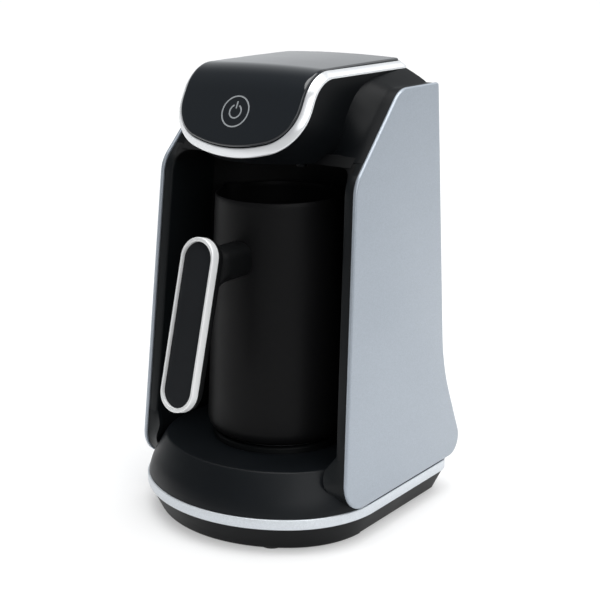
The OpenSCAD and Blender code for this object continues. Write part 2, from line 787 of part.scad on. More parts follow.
// Band of the cover that follows the side panels' top edges, drawn in by inset
module cheeks(inset) intersection() {
    slab(-base_w, base_w, outline(PANEL, strip_back + inset));
    between(arm_out, 0, head_rear + cut, seam_z - past(inset), panel_top);
}
module top_cover() color("#2b2f33") machine() difference() {
    union() {
        difference() {
            union() {
                nose(0);
                shoulders(0);
                cheeks(0);
            }
            nose(cover_t);
            shoulders(cover_t);
            cheeks(cover_t);
            bent_sheet(-trim_seat, bend_r / 2, -trim_w - seam, head_rear + 2 * cut);
            intersection() {
                slab(-base_w, base_w, outline(PANEL, strip_back - seam));
                translate([-base_w, -base_w, 0]) cube([2 * base_w, 3 * base_w, seam_z]);
            }
        }
        translate([seam - face_hw, head_rear - cover_t, head_top - trim_seat - cut]) {
            cube([2 * face_hw - 2 * seam, cover_t, trim_seat + cut - tray_low - ease]);
        }
        for (p = HEAD_BOSSES) translate(p) rod(boss_r, ceiling_z + arm_t, ceiling_z + arm_t + head_boss_h);
        intersection() {
            for (s = [-1, 1]) translate([s * HEAD_BOSSES[0].x - rib_t / 2, -base_front, ceiling_z + arm_t]) {
                cube([rib_t, base_front + HEAD_BOSSES[0].y, head_boss_h]);
            }
            on_face() prism(-far_s, -trim_seat - cut, nose_in - cover_t / 2);
        }
        for (s = [-1, 1]) translate([s * HEAD_BOSSES[2].x - rib_t / 2, HEAD_BOSSES[2].y, seam_z]) {
            cube([rib_t, head_rear - cover_t - HEAD_BOSSES[2].y, head_boss_h]);
        }
    }
    for (p = HEAD_BOSSES) translate(p) rod(bore_r, ceiling_z, ceiling_z + arm_t + head_screw_l + cut);
}

// ---- Electronics in the head ----

// Touch board and the screws that hold it
TOUCH_BOARD = [46, 26, pcb_t];
touch_shank_r = 1.1;
touch_head_r = 2;
touch_head_h = 1.2;
module touch_board() color("#1f5a3a") machine() on_face() difference() {
    translate([-TOUCH_BOARD.x / 2, -TOUCH_BOARD.y / 2, -board_n - pcb_t]) cube(TOUCH_BOARD);
    for (p = POSTS) translate(p) rod(touch_shank_r + ease, -board_n - 2 * pcb_t, -board_n + cut);
}
module touch_screws() color("silver") machine() on_face() for (p = POSTS) translate(p) {
    rod(touch_shank_r, -board_n - pcb_t - lap, -board_n + post_h - ease);
    rod(touch_head_r, -board_n - pcb_t - touch_head_h, -board_n - pcb_t);
}
// Spring that carries the touch to the board
module touch_spring() color("silver") machine() on_face() spring(3.5, -board_n + ease, -glass_t - ease, 3);

// Buzzer on the back of the touch board
BUZZER = [12, 3];
buzzer_r = 6;
buzzer_h = 6;
module buzzer() color("#101010") machine() on_face() translate(BUZZER) {
    rod(buzzer_r, -board_n - pcb_t - buzzer_h, -board_n - pcb_t);
}

// Sensor that watches the foam through the ceiling, and its board
foam_out = 0.8;
foam_flange_r = 5.5;
foam_flange_t = 1;
FOAM_BOARD = [24, 16, pcb_t];
module foam_sensor() color("#300808") machine() translate([0, foam_y, ceiling_z]) {
    rod(foam_r, -foam_out, arm_t + lap);
    rod(foam_flange_r, arm_t, arm_t + foam_flange_t);
}
module foam_board() color("#1f5a3a") machine() {
    translate([-FOAM_BOARD.x / 2, foam_y - FOAM_BOARD.y / 2, ceiling_z + arm_t + foam_flange_t]) {
        cube(FOAM_BOARD);
    }
}
module head_screws() color("silver") machine() for (p = HEAD_BOSSES) translate([p.x, p.y, ceiling_z]) {
    rod(head_r, -head_h, 0);
    rod(shank_r, -lap, arm_t + head_screw_l);
}

// ---- Heater ----

// Levels of the plate, the ledge it rests on, the element, the clamp and the sensor
plate_z = z_plate - plate_t;
gasket_t = 1.3;
ledge_z = plate_z - gasket_t;
ledge_r = plate_r - 3;
close = 0.05;
element_z = plate_z - tube_r - close;
clamp_z = element_z - tube_r - close;
clamp_t = 1.8;
clamp_w = 12;
clamp_end = 3;
// Bevel at the collar's outer edge and at the plate's
bevel = 0.8;
plate_bevel = 0.6;
collar_top = z_plate - 0.4;
// Sensor: stem, cap's rim and guide
stem_r = 2.4;
cap_gap = 0.4;
cap_rim = 1.3;
cap_rim_r = sensor_r + 1.6;
cap_low = plate_z - seam;
guide_r = 4.6;
guide_l = 9;
guide_low = 1.5;
guide_flange_r = 7;
guide_flange_t = 1.4;

module at_pot() translate([0, pot_y, 0]) children();
module at_clamp_screws() for (x = [-heater_screw_x, heater_screw_x]) translate([x, 0, 0]) children();
module at_heater_holes() for (a = HEATER_HOLES) rotate(a) translate([heater_screw_x, 0, 0]) children();

module heater_collar() color("#17191b") machine() at_pot() difference() {
    rotate_extrude($fn = 96) polygon([
        [ledge_r - 1, flange_z - flange_t], [flange_r, flange_z - flange_t], [flange_r, flange_z],
        [collar_r, flange_z], [collar_r, collar_top - bevel], [collar_r - bevel, collar_top],
        [plate_r + plate_fit, collar_top], [plate_r + plate_fit, ledge_z], [ledge_r - 1, ledge_z]
    ]);
    at_heater_holes() rod(hole_r, flange_z - flange_t - cut, flange_z + cut);
    at_clamp_screws() rod(bore_r, flange_z - flange_t - cut, flange_z + cut);
}
module heating_plate() color("#8d9094") machine() at_pot() difference() {
    rotate_extrude($fn = 96) polygon([
        [0, plate_z], [plate_r, plate_z], [plate_r, z_plate - plate_bevel],
        [plate_r - plate_bevel, z_plate], [0, z_plate]
    ]);
    rod(sensor_r + cap_gap, plate_z - cut, z_plate + cut);
}
module heater_gasket() color("#b8432e") machine() at_pot() difference() {
    rod(plate_r, ledge_z, plate_z);
    rod(ledge_r + lap, ledge_z - cut, plate_z + cut);
}

// Ring of tube under the plate, open by this angle, and its two pins: turn into the ring, radius, drop
element_gap = 56;
pin_turn = 6;
pin_r = 2;
pin_drop = 6;
module heating_element() color("#6f7275") machine() at_pot() rotate(90 + element_gap / 2) {
    translate([0, 0, element_z]) rotate_extrude(angle = 360 - element_gap, $fn = 96) {
        translate([element_r, 0]) circle(r = tube_r, $fn = 32);
    }
    for (a = [pin_turn, -element_gap - pin_turn]) rotate(a) translate([element_r, 0, 0]) {
        rod(pin_r, element_z - pin_drop, element_z);
    }
}
module heater_clamp() color("#a8abaf") machine() at_pot() difference() {
    union() {
        translate([-heater_screw_x - clamp_end, -clamp_w / 2, clamp_z - clamp_t]) {
            cube([2 * (heater_screw_x + clamp_end), clamp_w, clamp_t]);
        }
        at_clamp_screws() translate([-clamp_end, -clamp_w / 2, clamp_z - cut]) {
            cube([2 * clamp_end, clamp_w, flange_z - flange_t - clamp_z + cut]);
        }
    }
    rod(guide_r + ease, clamp_z - clamp_t - cut, clamp_z + cut);
    at_clamp_screws() rod(hole_r, clamp_z - 2 * clamp_t, flange_z);
}
module heater_screws() color("silver") machine() at_pot() {
    at_clamp_screws() {
        rod(small_head_r, clamp_z - clamp_t - head_h, clamp_z - clamp_t);
        rod(shank_r, clamp_z - clamp_t - lap, flange_z - ease);
    }
    at_heater_holes() {
        rod(small_head_r, flange_z - flange_t - head_h, flange_z - flange_t);
        rod(shank_r, flange_z - flange_t - lap, z_floor - skin - ease);
    }
}

// Thermal fuse lying under the plate
fuse_y = -14;
fuse_r = 2;
fuse_l = 10;
fuse_wire_r = 0.6;
fuse_wire_l = 18;
module thermal_fuse() color("#c9b78a") machine() at_pot() {
    translate([0, fuse_y, plate_z - fuse_r - close]) rotate([0, 90, 0]) {
        rod(fuse_r, -fuse_l / 2, fuse_l / 2);
        rod(fuse_wire_r, -fuse_wire_l / 2, fuse_wire_l / 2);
    }
}

// Temperature sensor: a spring keeps its cap against the pot
module temperature_sensor() color("#b0b3b6") machine() at_pot() {
    rod(sensor_r, cap_low - cap_rim, z_plate - ease);
    rod(cap_rim_r, cap_low - cap_rim, cap_low);
    rod(stem_r, clamp_z - guide_l, cap_low - cap_rim + lap);
}
module sensor_bracket() color("#1a1a1a") machine() at_pot() difference() {
    union() {
        rod(guide_r, clamp_z - guide_l + guide_low, clamp_z);
        rod(guide_flange_r, clamp_z - clamp_t - guide_flange_t, clamp_z - clamp_t);
    }
    rod(stem_r + stem_fit, clamp_z - guide_l, clamp_z + cut);
}
module sensor_spring() color("silver") machine() at_pot() {
    spring(stem_r + 1.2, clamp_z, cap_low - cap_rim, 3);
}

// ---- Power electronics in the base ----

// Parts on the board as [x, y, width, depth, height]
board_top = board_z + pcb_t;
BOARD = [-42, 65, 84, 40, pcb_t];
RELAY = [-26, 72, 19, 15.5, 15.2];
TRANSFORMER = [-2, 71, 22, 20, 16];
TERMINALS = [-12, 93, 32, 10, 12];
CAPACITOR = [28, 82];
capacitor_r = 5;
capacitor_h = 14;
module part(p, z) translate([p[0], p[1], z]) cube([p[2], p[3], p[4]]);
module power_board() color("#1f5a3a") machine() difference() {
    part(BOARD, board_z);
    for (b = BOARD_BOSSES) translate(b) rod(hole_r, board_z - cut, board_top + cut);
}
module board_screws() color("silver") machine() for (b = BOARD_BOSSES) translate(b) {
    rod(small_head_r, board_top, board_top + pcb_t);
    rod(shank_r, base_floor + 2 * cut, board_top + lap);
}
module relay() color("#2b5fa8") machine() part(RELAY, board_top);
module transformer() color("#b58a3a") machine() part(TRANSFORMER, board_top);
module capacitor() color("#20305a") machine() translate(CAPACITOR) {
    rod(capacitor_r, board_top, board_top + capacitor_h);
}
module terminal_block() color("#2f6b46") machine() part(TERMINALS, board_top);

// Leads from the terminals to the element's pins
pin_x = element_r * sin(element_gap / 2 + pin_turn);
pin_y = pot_y + element_r * cos(element_gap / 2 + pin_turn);
terminal_z = board_top + TERMINALS[4];
lead_r = 1.3;
lead_up = 7;
terminal_y = TERMINALS[1] + TERMINALS[3] / 2;
lead_mid = TERMINALS[0] + TERMINALS[2] / 2;
lead_x = 8;
lead_bend = 3;
module heater_leads() color("#8a1f1f") machine() for (s = [-1, 1]) {
    tube([
        [lead_mid + s * lead_x, terminal_y, terminal_z],
        [lead_mid + s * lead_x, terminal_y, terminal_z + lead_up - lead_bend],
        [lead_mid + s * lead_x, terminal_y - lead_bend, terminal_z + lead_up],
        [s * pin_x, pin_y + lead_bend, terminal_z + lead_up],
        [s * pin_x, pin_y, terminal_z + lead_up + lead_bend],
        [s * pin_x, pin_y, element_z - pin_drop]
    ], lead_r);
}

// Cable from the power board up behind the bay to the touch board
cable_r = 1.6;
cable_x = -8;
cable_loop = 8;
CABLE_END = face_point(0, -board_n - pcb_t - seam);
CABLE_TURN = face_point(0, -board_n - pcb_t - cable_loop);
module panel_cable() color("#2a2a2a") machine() tube([
    [CABLE_HOLE.x, CABLE_HOLE.y, board_top], [CABLE_HOLE.x, CABLE_HOLE.y, ceiling_z],
    [CABLE_HOLE.x, CABLE_HOLE.y - cable_loop / 2, seam_z + cable_loop],
    [2 * cable_x, CABLE_TURN.x + 4 * cable_loop, seam_z + 2 * cable_loop],
    [cable_x, CABLE_TURN.x, CABLE_TURN.y], [cable_x, CABLE_END.x, CABLE_END.y]
], cable_r);

// ---- Pot ----

POT = [[0, z_pot, 0], [pot_r, z_pot, pot_edge_r], [rim_r, z_rim, 0], [0, z_rim, 0]];
pot_floor = z_pot + disc_t + pot_t;
POT_INSIDE = [
    [-rim_r, pot_floor, 0], [pot_r - pot_t, pot_floor, pot_edge_r - pot_t],
    [rim_r - pot_t, z_rim, 0], [rim_r - pot_t, z_rim + cut, 0], [-rim_r, z_rim + cut, 0]
];
function pot_at(z) = pot_r + (rim_r - pot_r) * (z - z_pot) / pot_h;

// Pouring lip on the pot's left, drawn in by inset: half width, radius of its edges and drop of its root
lip_y = 8;
lip_r = 1;
lip_drop = 14;
module lip(inset) {
    hull() {
        for (s = [-1, 1]) translate([3 - rim_r, s * (lip_y - inset), z_rim - 1]) lip_post(inset);
        translate([lip_r - rim_r - spout_reach + inset, 0, z_rim + 0.5]) lip_post(inset);
        translate([2 * lip_r - rim_r + inset, 0, z_rim - lip_drop]) sphere(r = lip_r, $fn = 24);
    }
}
module lip_post(inset) cylinder(r = lip_r, h = 1 + inset, $fn = 24);
module pot_body() color("#1e1f20") machine() at_pot() difference() {
    union() {
        rotate_extrude($fn = 96) polygon(outline(POT));
        lip(0);
    }
    rotate_extrude($fn = 96) intersection() {
        polygon(outline(POT_INSIDE));
        square([2 * pot_r, 2 * z_rim]);
    }
    lip(pot_t);
    rod(disc_r + ease, z_pot - cut, z_pot + disc_t);
}
// Disc let into the pot's foot, with a dimple for the sensor
dimple_r = 3;
dimple_h = 0.6;
module pot_disc() color("#9a9da0") machine() at_pot() difference() {
    rod(disc_r, z_pot, z_pot + disc_t);
    rod(dimple_r, z_pot - cut, z_pot + dimple_h);
}

// Grip: gap round the dark insert, its depth below the rim and its thickness
insert_gap = 0.15;
insert_n = 1.6;
insert_t = 1.6;
// Back of the grip: step in, depth of its straight edge and its narrowing across and along
back_step = 0.3;
back_edge = 3.6;
back_draw = 3;
back_draw_l = 10;
// Neck: place of the grip's face and back at its height, corner radius, and its stud in the pot's wall
neck_top = z_pot + neck_z;
neck_r = 7;
neck_reach = pot_y - pot_at(neck_top);
face_at_neck = pot_y - grip_reach + (neck_z - grip_z) * tan(grip_lean);
back_at_neck = face_at_neck + grip_t / cos(grip_lean);
// Foot of the neck on the grip: place up the grip, width, extra length downwards and start of its flare
foot_up = (neck_z - grip_z + grip_t * sin(grip_lean)) / cos(grip_lean);
foot_w = grip_w - 2 * back_draw - 1;
foot_more = 7;
flare_y = 8;
stud_r = 5;
stud_front = neck_reach - 10;
screw_sink = 7.5;

// Frame on the grip's face: X across, Y up the grip and Z out of it
module on_grip() translate([0, pot_y - grip_reach, z_pot + grip_z]) rotate([90 - grip_lean, 0, 0]) children();
module stadium(draw, draw_l, z0, z1) translate([0, 0, z0]) linear_extrude(z1 - z0) {
    square([grip_w - 2 * draw, grip_l - grip_w + 2 * draw - 2 * draw_l], center = true);
    for (s = [-1, 1]) translate([0, s * ((grip_l - grip_w) / 2 + draw - draw_l)]) {
        circle(r = grip_w / 2 - draw, $fn = 64);
    }
}
module handle_rim() color("#e8e8ea") machine() on_grip() difference() {
    hull() {
        stadium(0, 0, -rim_d, -rim_edge);
        stadium(rim_edge, rim_edge, -rim_d, 0);
    }
    stadium(rim_w, rim_end_w, -rim_d - cut, cut);
}
module handle_insert() color("#26292b") machine() on_grip() {
    stadium(rim_w + insert_gap, rim_end_w + insert_gap, -insert_n - insert_t, -insert_n);
}
module handle_grip() color("#17191a") machine() difference() {
    on_grip() {
        stadium(rim_w + insert_gap, rim_end_w + insert_gap, -rim_d - 2 * ease, -insert_n - insert_t - ease);
        hull() {
            stadium(back_step, back_step, -rim_d - back_edge, -rim_d - ease);
            stadium(back_draw, back_draw_l / 2, -grip_t, -grip_t + slice);
        }
    }
    at_neck() {
        rod(hole_r, face_at_neck, back_at_neck + head_r);
        rod(recess_r, face_at_neck - 2 * head_r, face_at_neck + screw_sink);
    }
}

// Bars along the neck, looking backwards from the grip to the pot
module at_neck() translate([0, 0, neck_top]) rotate([-90, 0, 0]) children();
module pot_cone(gap) at_pot() {
    translate([0, 0, z_pot]) cylinder(r1 = pot_r + gap, r2 = rim_r + gap, h = pot_h, $fn = 96);
}
// Section of the neck with its rounded corners, and its foot on the grip's back
function neck_box(w, h, r) = outline([
    [-w / 2, -h / 2, r], [w / 2, -h / 2, r], [w / 2, h / 2, r], [-w / 2, h / 2, r]
]);
module neck_run(y0, y1) translate([0, y1, neck_top]) rotate([90, 0, 0]) linear_extrude(y1 - y0) {
    polygon(neck_box(neck_w, neck_h, neck_r));
}
module neck_foot(more, drop) on_grip() translate([0, foot_up - drop, -grip_t - cut]) linear_extrude(cut) {
    polygon(neck_box(foot_w, neck_h + more, neck_r - 1));
}
module handle_neck() color("#17191a") machine() difference() {
    union() {
        neck_run(back_at_neck + flare_y - slice, neck_reach + 4);
        hull() {
            neck_run(back_at_neck + flare_y - slice, back_at_neck + flare_y);
            neck_foot(foot_more, foot_more / 2);
        }
    }
    pot_cone(ease);
    on_grip() translate([-grip_w, -grip_l, -grip_t - close]) cube([2 * grip_w, 2 * grip_l, 2 * grip_t]);
    at_neck() {
        rod(hole_r, back_at_neck - screw_sink, pot_y);
        rod(stud_r + ease, stud_front - seam, pot_y);
    }
}
module handle_bracket() color("silver") machine() difference() {
    at_neck() difference() {
        rod(stud_r, stud_front, neck_reach + 4);
        rod(bore_r, stud_front - cut, neck_reach - 1);
    }
    pot_cone(close);
}
module handle_screws() color("silver") machine() at_neck() {
    rod(head_r, face_at_neck + screw_sink - head_h, face_at_neck + screw_sink);
    rod(shank_r, face_at_neck + screw_sink - lap, neck_reach - 2);
}

lower_base();
rubber_feet();
base_screws();
base_band();
base_deck();
side_panel_right();
side_panel_left();
arm_right();
arm_left();
bay_liner();
bay_ceiling();
rear_cover();
rear_screws();
cord_gland();
top_cover();
head_tray();
head_trim();
control_panel();
power_symbol();
touch_board();
touch_screws();
touch_spring();
buzzer();
foam_sensor();
foam_board();
head_screws();
heater_collar();
heating_plate();
heater_gasket();
heating_element();
heater_clamp();
heater_screws();
thermal_fuse();
temperature_sensor();
sensor_spring();
sensor_bracket();
power_board();
board_screws();
relay();
transformer();
capacitor();
terminal_block();
heater_leads();
panel_cable();
pot_body();
pot_disc();
handle_neck();
handle_bracket();
handle_grip();
handle_rim();
handle_insert();
handle_screws();
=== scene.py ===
# Electric Turkish coffee maker: a silver and black cabinet with a heated bay, and a lift-out pot.
# The pieces come in the order in which the machine is put together. Sizes are in millimetres, with Y
# counted from the side panels' feet, until a mesh is made from them in metres.

import math

import bmesh
import bpy
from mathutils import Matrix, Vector


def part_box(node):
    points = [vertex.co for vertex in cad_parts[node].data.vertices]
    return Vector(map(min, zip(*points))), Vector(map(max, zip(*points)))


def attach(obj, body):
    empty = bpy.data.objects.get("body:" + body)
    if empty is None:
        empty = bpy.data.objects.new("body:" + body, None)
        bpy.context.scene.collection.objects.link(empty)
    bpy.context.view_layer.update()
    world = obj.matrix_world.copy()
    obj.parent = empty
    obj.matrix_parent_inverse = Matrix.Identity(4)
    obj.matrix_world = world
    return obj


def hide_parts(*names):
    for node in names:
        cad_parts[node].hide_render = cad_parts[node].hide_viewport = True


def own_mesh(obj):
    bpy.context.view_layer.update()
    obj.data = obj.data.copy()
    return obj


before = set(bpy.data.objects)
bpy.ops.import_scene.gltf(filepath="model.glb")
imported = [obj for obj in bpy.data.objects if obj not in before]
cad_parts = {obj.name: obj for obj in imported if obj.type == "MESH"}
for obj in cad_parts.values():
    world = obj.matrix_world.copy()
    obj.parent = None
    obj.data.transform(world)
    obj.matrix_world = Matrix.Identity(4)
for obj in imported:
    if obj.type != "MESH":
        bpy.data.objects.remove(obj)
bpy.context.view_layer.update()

# ---- Room: camera, pale floor and soft studio light ----
# The machine stands on a white table under a broad overhead light, seen from its right front and a little above. The
# room in front is dim, and the table in front of the machine is painted darker, painted shade, so that black parts stay
# dark; a bright wall behind lights the top.
MID_Y = 33.2391


def at(x, y, z):
    """Point in the frame, in metres."""
    return Vector((x, y - MID_Y, z)) / 1000


def linear(colour):
    """sRGB hex colour as linear light."""
    parts = [int(colour[i : i + 2], 16) / 255 for i in (1, 3, 5)]
    return [p / 12.92 if p <= 0.04045 else ((p + 0.055) / 1.055) ** 2.4 for p in parts] + [1]


def add(tree, kind, settings=None, inputs=None, to=()):
    """Adds a node with its settings, what feeds its inputs (numbers or other nodes' outputs), and its links."""
    node = tree.nodes.new(kind)
    for name, value in (settings or {}).items():
        setattr(node, name, value)
    for name, value in (inputs or {}).items():
        if isinstance(value, bpy.types.NodeSocket):
            tree.links.new(value, node.inputs[name])
        else:
            node.inputs[name].default_value = value
    for output, target in to:
        tree.links.new(node.outputs[output], target)
    return node


def finish(name, colour, roughness, **shader_inputs):
    """New material: its node tree and its shader, with the constants on the shader's own sockets."""
    material = bpy.data.materials.new(name)
    material.use_nodes = True
    shader = material.node_tree.nodes["Principled BSDF"]
    shader.inputs["Base Color"].default_value = linear(colour)
    shader.inputs["Roughness"].default_value = roughness
    for key, value in shader_inputs.items():
        shader.inputs[key.replace("_", " ")].default_value = value
    return material, material.node_tree, shader


camera = bpy.data.objects.new("camera", bpy.data.cameras.new("camera"))
camera.data.lens = 80.34
camera.data.sensor_width = 36
camera.location = (0.45646, -0.597919, 0.33381)
camera.rotation_euler = (math.radians(90 - 15.38), 0, math.radians(36.19))
bpy.context.scene.collection.objects.link(camera)
bpy.context.scene.camera = camera
bpy.context.scene.view_settings.view_transform = "Standard"


def soft_light(name, place, target, size, power):
    """Square soft box aimed at a point."""
    data = bpy.data.lights.new(name, "AREA")
    data.size = size
    data.energy = power
    light = bpy.data.objects.new(name, data)
    light.location = place
    light.rotation_euler = (Vector(target) - Vector(place)).to_track_quat("-Z", "Y").to_euler()
    bpy.context.scene.collection.objects.link(light)


soft_light("key_right", (1.16, -0.67, 0.79), (0, 0, 0.24), 0.9, 6)
soft_light("high_right", (0.95, 0.2, 1.25), (0, 0, 0.24), 1.3, 5.5)
soft_light("high_back", (0.35, 1.35, 1.15), (0, 0, 0.24), 0.8, 1.9)
soft_light("front_fill", (0.95, -1.25, 0.62), (0, 0, 0.13), 0.5, 1.2)
overhead = bpy.data.lights.new("overhead", "SUN")
overhead.energy = 3
overhead.angle = math.radians(58)
bpy.context.scene.collection.objects.link(bpy.data.objects.new("overhead", overhead))

world = bpy.data.worlds.new("studio")
bpy.context.scene.world = world
world.use_nodes = True
sky = world.node_tree
sky_way = add(sky, "ShaderNodeTexCoord")
sky_axes = add(sky, "ShaderNodeSeparateXYZ", inputs={"Vector": sky_way.outputs["Generated"]})
rear_part = add(
    sky, "ShaderNodeMapRange", {"interpolation_type": "SMOOTHSTEP"},
    {"Value": sky_axes.outputs["Y"], "From Min": 0.1, "From Max": 0.6, "To Min": 0.0, "To Max": 0.46},
)
low_part = add(
    sky, "ShaderNodeMapRange", {"interpolation_type": "SMOOTHSTEP"},
    {"Value": sky_axes.outputs["Z"], "From Min": 0.0, "From Max": 1.3, "To Min": 1.0, "To Max": 0.0},
)
wall_glow = add(
    sky, "ShaderNodeMath", {"operation": "MULTIPLY"}, {0: rear_part.outputs["Result"], 1: low_part.outputs["Result"]})
sky_glow = add(sky, "ShaderNodeMath", {"operation": "ADD"}, {0: wall_glow.outputs["Value"], 1: 0.22})
sky.links.new(sky_glow.outputs["Value"], sky.nodes["Background"].inputs["Strength"])
sky.nodes["Background"].inputs["Color"].default_value = (0.94, 0.97, 1, 1)

floor_mesh = bpy.data.meshes.new("floor")
floor_mesh.from_pydata([(-30, -30, 0), (30, -30, 0), (30, 30, 0), (-30, 30, 0)], [], [(0, 1, 2, 3)])
floor = bpy.data.objects.new("floor", floor_mesh)
bpy.context.scene.collection.objects.link(floor)
# The table glows a little of itself, painted light that lifts the shadows on it, and it is painted darker in front of
# the machine, painted shade that keeps the black parts' reflections dark.
table_finish, table_tree, table_shader = finish(
    "white_table_painted_glow_and_shade", "#bdbdbd", 0.7, Specular_IOR_Level=0.1, Emission_Strength=0.65)
table_place = add(table_tree, "ShaderNodeTexCoord").outputs["Object"]
table_near = add(
    table_tree, "ShaderNodeVectorMath", {"operation": "DOT_PRODUCT"}, {0: table_place, 1: (0.59, -0.807, 0)})
table_painted_shade_fade = add(
    table_tree, "ShaderNodeMapRange", {"interpolation_type": "SMOOTHSTEP"},
    {"Value": table_near.outputs["Value"], "From Min": 0.14, "From Max": 0.42, "To Min": 0.0, "To Max": 1.0},
)
# Painted shade: the table's colour and glow fade from pale by the machine to darker in front of it.
add(
    table_tree, "ShaderNodeMix", {"data_type": "RGBA"},
    {0: table_painted_shade_fade.outputs["Result"], 6: linear("#c4c4c4"), 7: linear("#8a8a8a")},
    [(2, table_shader.inputs["Base Color"]), (2, table_shader.inputs["Emission Color"])],
)
floor_mesh.materials.append(table_finish)

# ---- Lower base ----
# Black ABS tub under the machine, injection moulded with a fine spark-eroded grain. Its wall draws in
# towards the bottom, a skid runs under its front, and four screws are sunk in its underside.
BASE_TOP = 15.5


def bow(half, front, front_r, corner_r, rear, rear_r):
    """Corners [x, y, radius] of an outline with a bowed front."""
    phi = math.asin((half - corner_r) / (front_r - corner_r))
    tip = front + front_r - front_r / math.cos(phi)
    knee = tip + half * math.tan(phi)
    return [(0, tip, front_r), (half, knee, corner_r), (half, rear, rear_r), (-half, rear, rear_r),
            (-half, knee, corner_r)]


def outline(corners, inset=0.0, step=2.5):
    """Outline through rounded corners, anticlockwise, moved in by inset. Every inset has as many points."""
    points = []
    for i, (x, y, radius) in enumerate(corners):
        here = Vector((x, y))
        a = (here - Vector(corners[i - 1][:2])).normalized()
        b = (Vector(corners[(i + 1) % len(corners)][:2]) - here).normalized()
        turn = math.atan2(a.x * b.y - a.y * b.x, a.dot(b))
        side = math.copysign(1, turn)
        r = max(radius - side * inset, 0.01)
        here = here + inset * (Vector((-a.y, a.x)) + Vector((-b.y, b.x))) / (1 + a.dot(b))
        start = here - a * r * math.tan(abs(turn) / 2)
        centre = start + side * r * Vector((-a.y, a.x))
        steps = math.ceil(math.degrees(abs(turn)) / step) if radius > 0 else 1
        for k in range(steps + 1):
            arm = start - centre
            c, s = math.cos(turn * k / steps), math.sin(turn * k / steps)
            points.append(centre + Vector((arm.x * c - arm.y * s, arm.x * s + arm.y * c)))
    return points


def skin(rows, ring=True, caps=(True, True)):
    """Vertices and faces of the skin through rows of points, each a closed ring or an open line."""
    n = len(rows[0])
    faces = [
        (i * n + k, i * n + (k + 1) % n, (i + 1) * n + (k + 1) % n, (i + 1) * n + k)
        for i in range(len(rows) - 1)
        for k in range(n if ring else n - 1)
    ]
    if ring and caps[0]:
        faces.append(tuple(range(n - 1, -1, -1)))
    if ring and caps[1]:
        faces.append(tuple((len(rows) - 1) * n + k for k in range(n)))
    return [p for row in rows for p in row], faces


def make(name, shape, material, body, replaced=(), sharp=32, wall=0.0):
    """Object from vertices and faces: outward faces, smooth shading with crisp edges, a wall if it is a sheet."""
    mesh = bpy.data.meshes.new(name)
    mesh.from_pydata(shape[0], [], shape[1])
    rough = bmesh.new()
    rough.from_mesh(mesh)
    bmesh.ops.remove_doubles(rough, verts=rough.verts, dist=2e-6)
    bmesh.ops.dissolve_degenerate(rough, edges=rough.edges, dist=1e-6)
    bmesh.ops.recalc_face_normals(rough, faces=rough.faces)
    rough.to_mesh(mesh)
    rough.free()
    piece = bpy.data.objects.new(name, mesh)
    bpy.context.scene.collection.objects.link(piece)
    if wall:
        thick = piece.modifiers.new("wall", "SOLIDIFY")
        thick.thickness = wall / 1000
        thick.offset = -1
        bake(piece)
    mesh = piece.data
    mesh.materials.append(material)
    mesh.shade_smooth()
    mesh.set_sharp_from_angle(angle=math.radians(sharp))
    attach(piece, body)
    if replaced:
        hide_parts(*replaced)
    return piece


def bake(piece):
    """Applies a piece's modifiers to its mesh."""
    bpy.context.view_layer.update()
    mesh = bpy.data.meshes.new_from_object(piece.evaluated_get(bpy.context.evaluated_depsgraph_get()))
    piece.modifiers.clear()
    old, piece.data = piece.data, mesh
    bpy.data.meshes.remove(old)


def rod(x, y, r, z0, z1, sides=48):
    """Upright round bar."""
    turn = [2 * math.pi * k / sides for k in range(sides)]
    return skin([[at(x + r * math.cos(t), y + r * math.sin(t), z) for t in turn] for z in (z0, z1)])


def carve(piece, tools, operation="DIFFERENCE", sharp=32):
    """Cuts tools, as vertices and faces, from a piece, or joins them to it."""
    for shape in tools:
        mesh = bpy.data.meshes.new("tool")
        mesh.from_pydata(shape[0], [], shape[1])
        rough = bmesh.new()
        rough.from_mesh(mesh)
        bmesh.ops.recalc_face_normals(rough, faces=rough.faces)
        rough.to_mesh(mesh)
        rough.free()
        tool = bpy.data.objects.new("tool", mesh)
        bpy.context.scene.collection.objects.link(tool)
        cut = piece.modifiers.new("cut", "BOOLEAN")
        cut.operation, cut.solver, cut.object = operation, "EXACT", tool
        bake(piece)
        bpy.data.objects.remove(tool)
        bpy.data.meshes.remove(mesh)
    piece.data.shade_smooth()
    piece.data.set_sharp_from_angle(angle=math.radians(sharp))


def block(x0, x1, y0, y1, z0, z1):
    """Square block."""
    return skin([[at(x, y, z) for x, y in ((x0, y0), (x1, y0), (x1, y1), (x0, y1))] for z in (z0, z1)])


def moulded_abs(name, colour, roughness, grain=0.05, gloss=0.16):
    """Injection-moulded ABS: satin, with an eroded grain of 0.2 mm drawn at 0.7 mm so that it shows."""
    material, tree, shader = finish(name, colour, roughness, IOR=1.54, Specular_IOR_Level=gloss)
    place = add(tree, "ShaderNodeTexCoord").outputs["Object"]
    fine = add(tree, "ShaderNodeTexNoise", {}, {"Vector": place, "Scale": 1 / 0.0007, "Detail": 3.0})
    add(
        tree, "ShaderNodeBump", {}, {"Height": fine.outputs["Fac"], "Strength": grain, "Distance": 0.0001},
        [("Normal", shader.inputs["Normal"])],
    )
    # Flow of the melt: a slow drift of tone and of sheen, about 35 mm long
    flow = add(tree, "ShaderNodeTexNoise", {}, {"Vector": place, "Scale": 1 / 0.035, "Detail": 2.0})
    add(
        tree, "ShaderNodeMapRange", {}, {
            "Value": flow.outputs["Fac"], "From Min": 0.3, "From Max": 0.7,
            "To Min": roughness - 0.04, "To Max": roughness + 0.04,
        }, [("Result", shader.inputs["Roughness"])],
    )
    light, dark = [c * 1.12 for c in linear(colour)[:3]] + [1], [c * 0.9 for c in linear(colour)[:3]] + [1]
    add(
        tree, "ShaderNodeMix", {"data_type": "RGBA"}, {0: flow.outputs["Fac"], 6: dark, 7: light},
        [(2, shader.inputs["Base Color"])],
    )
    return material


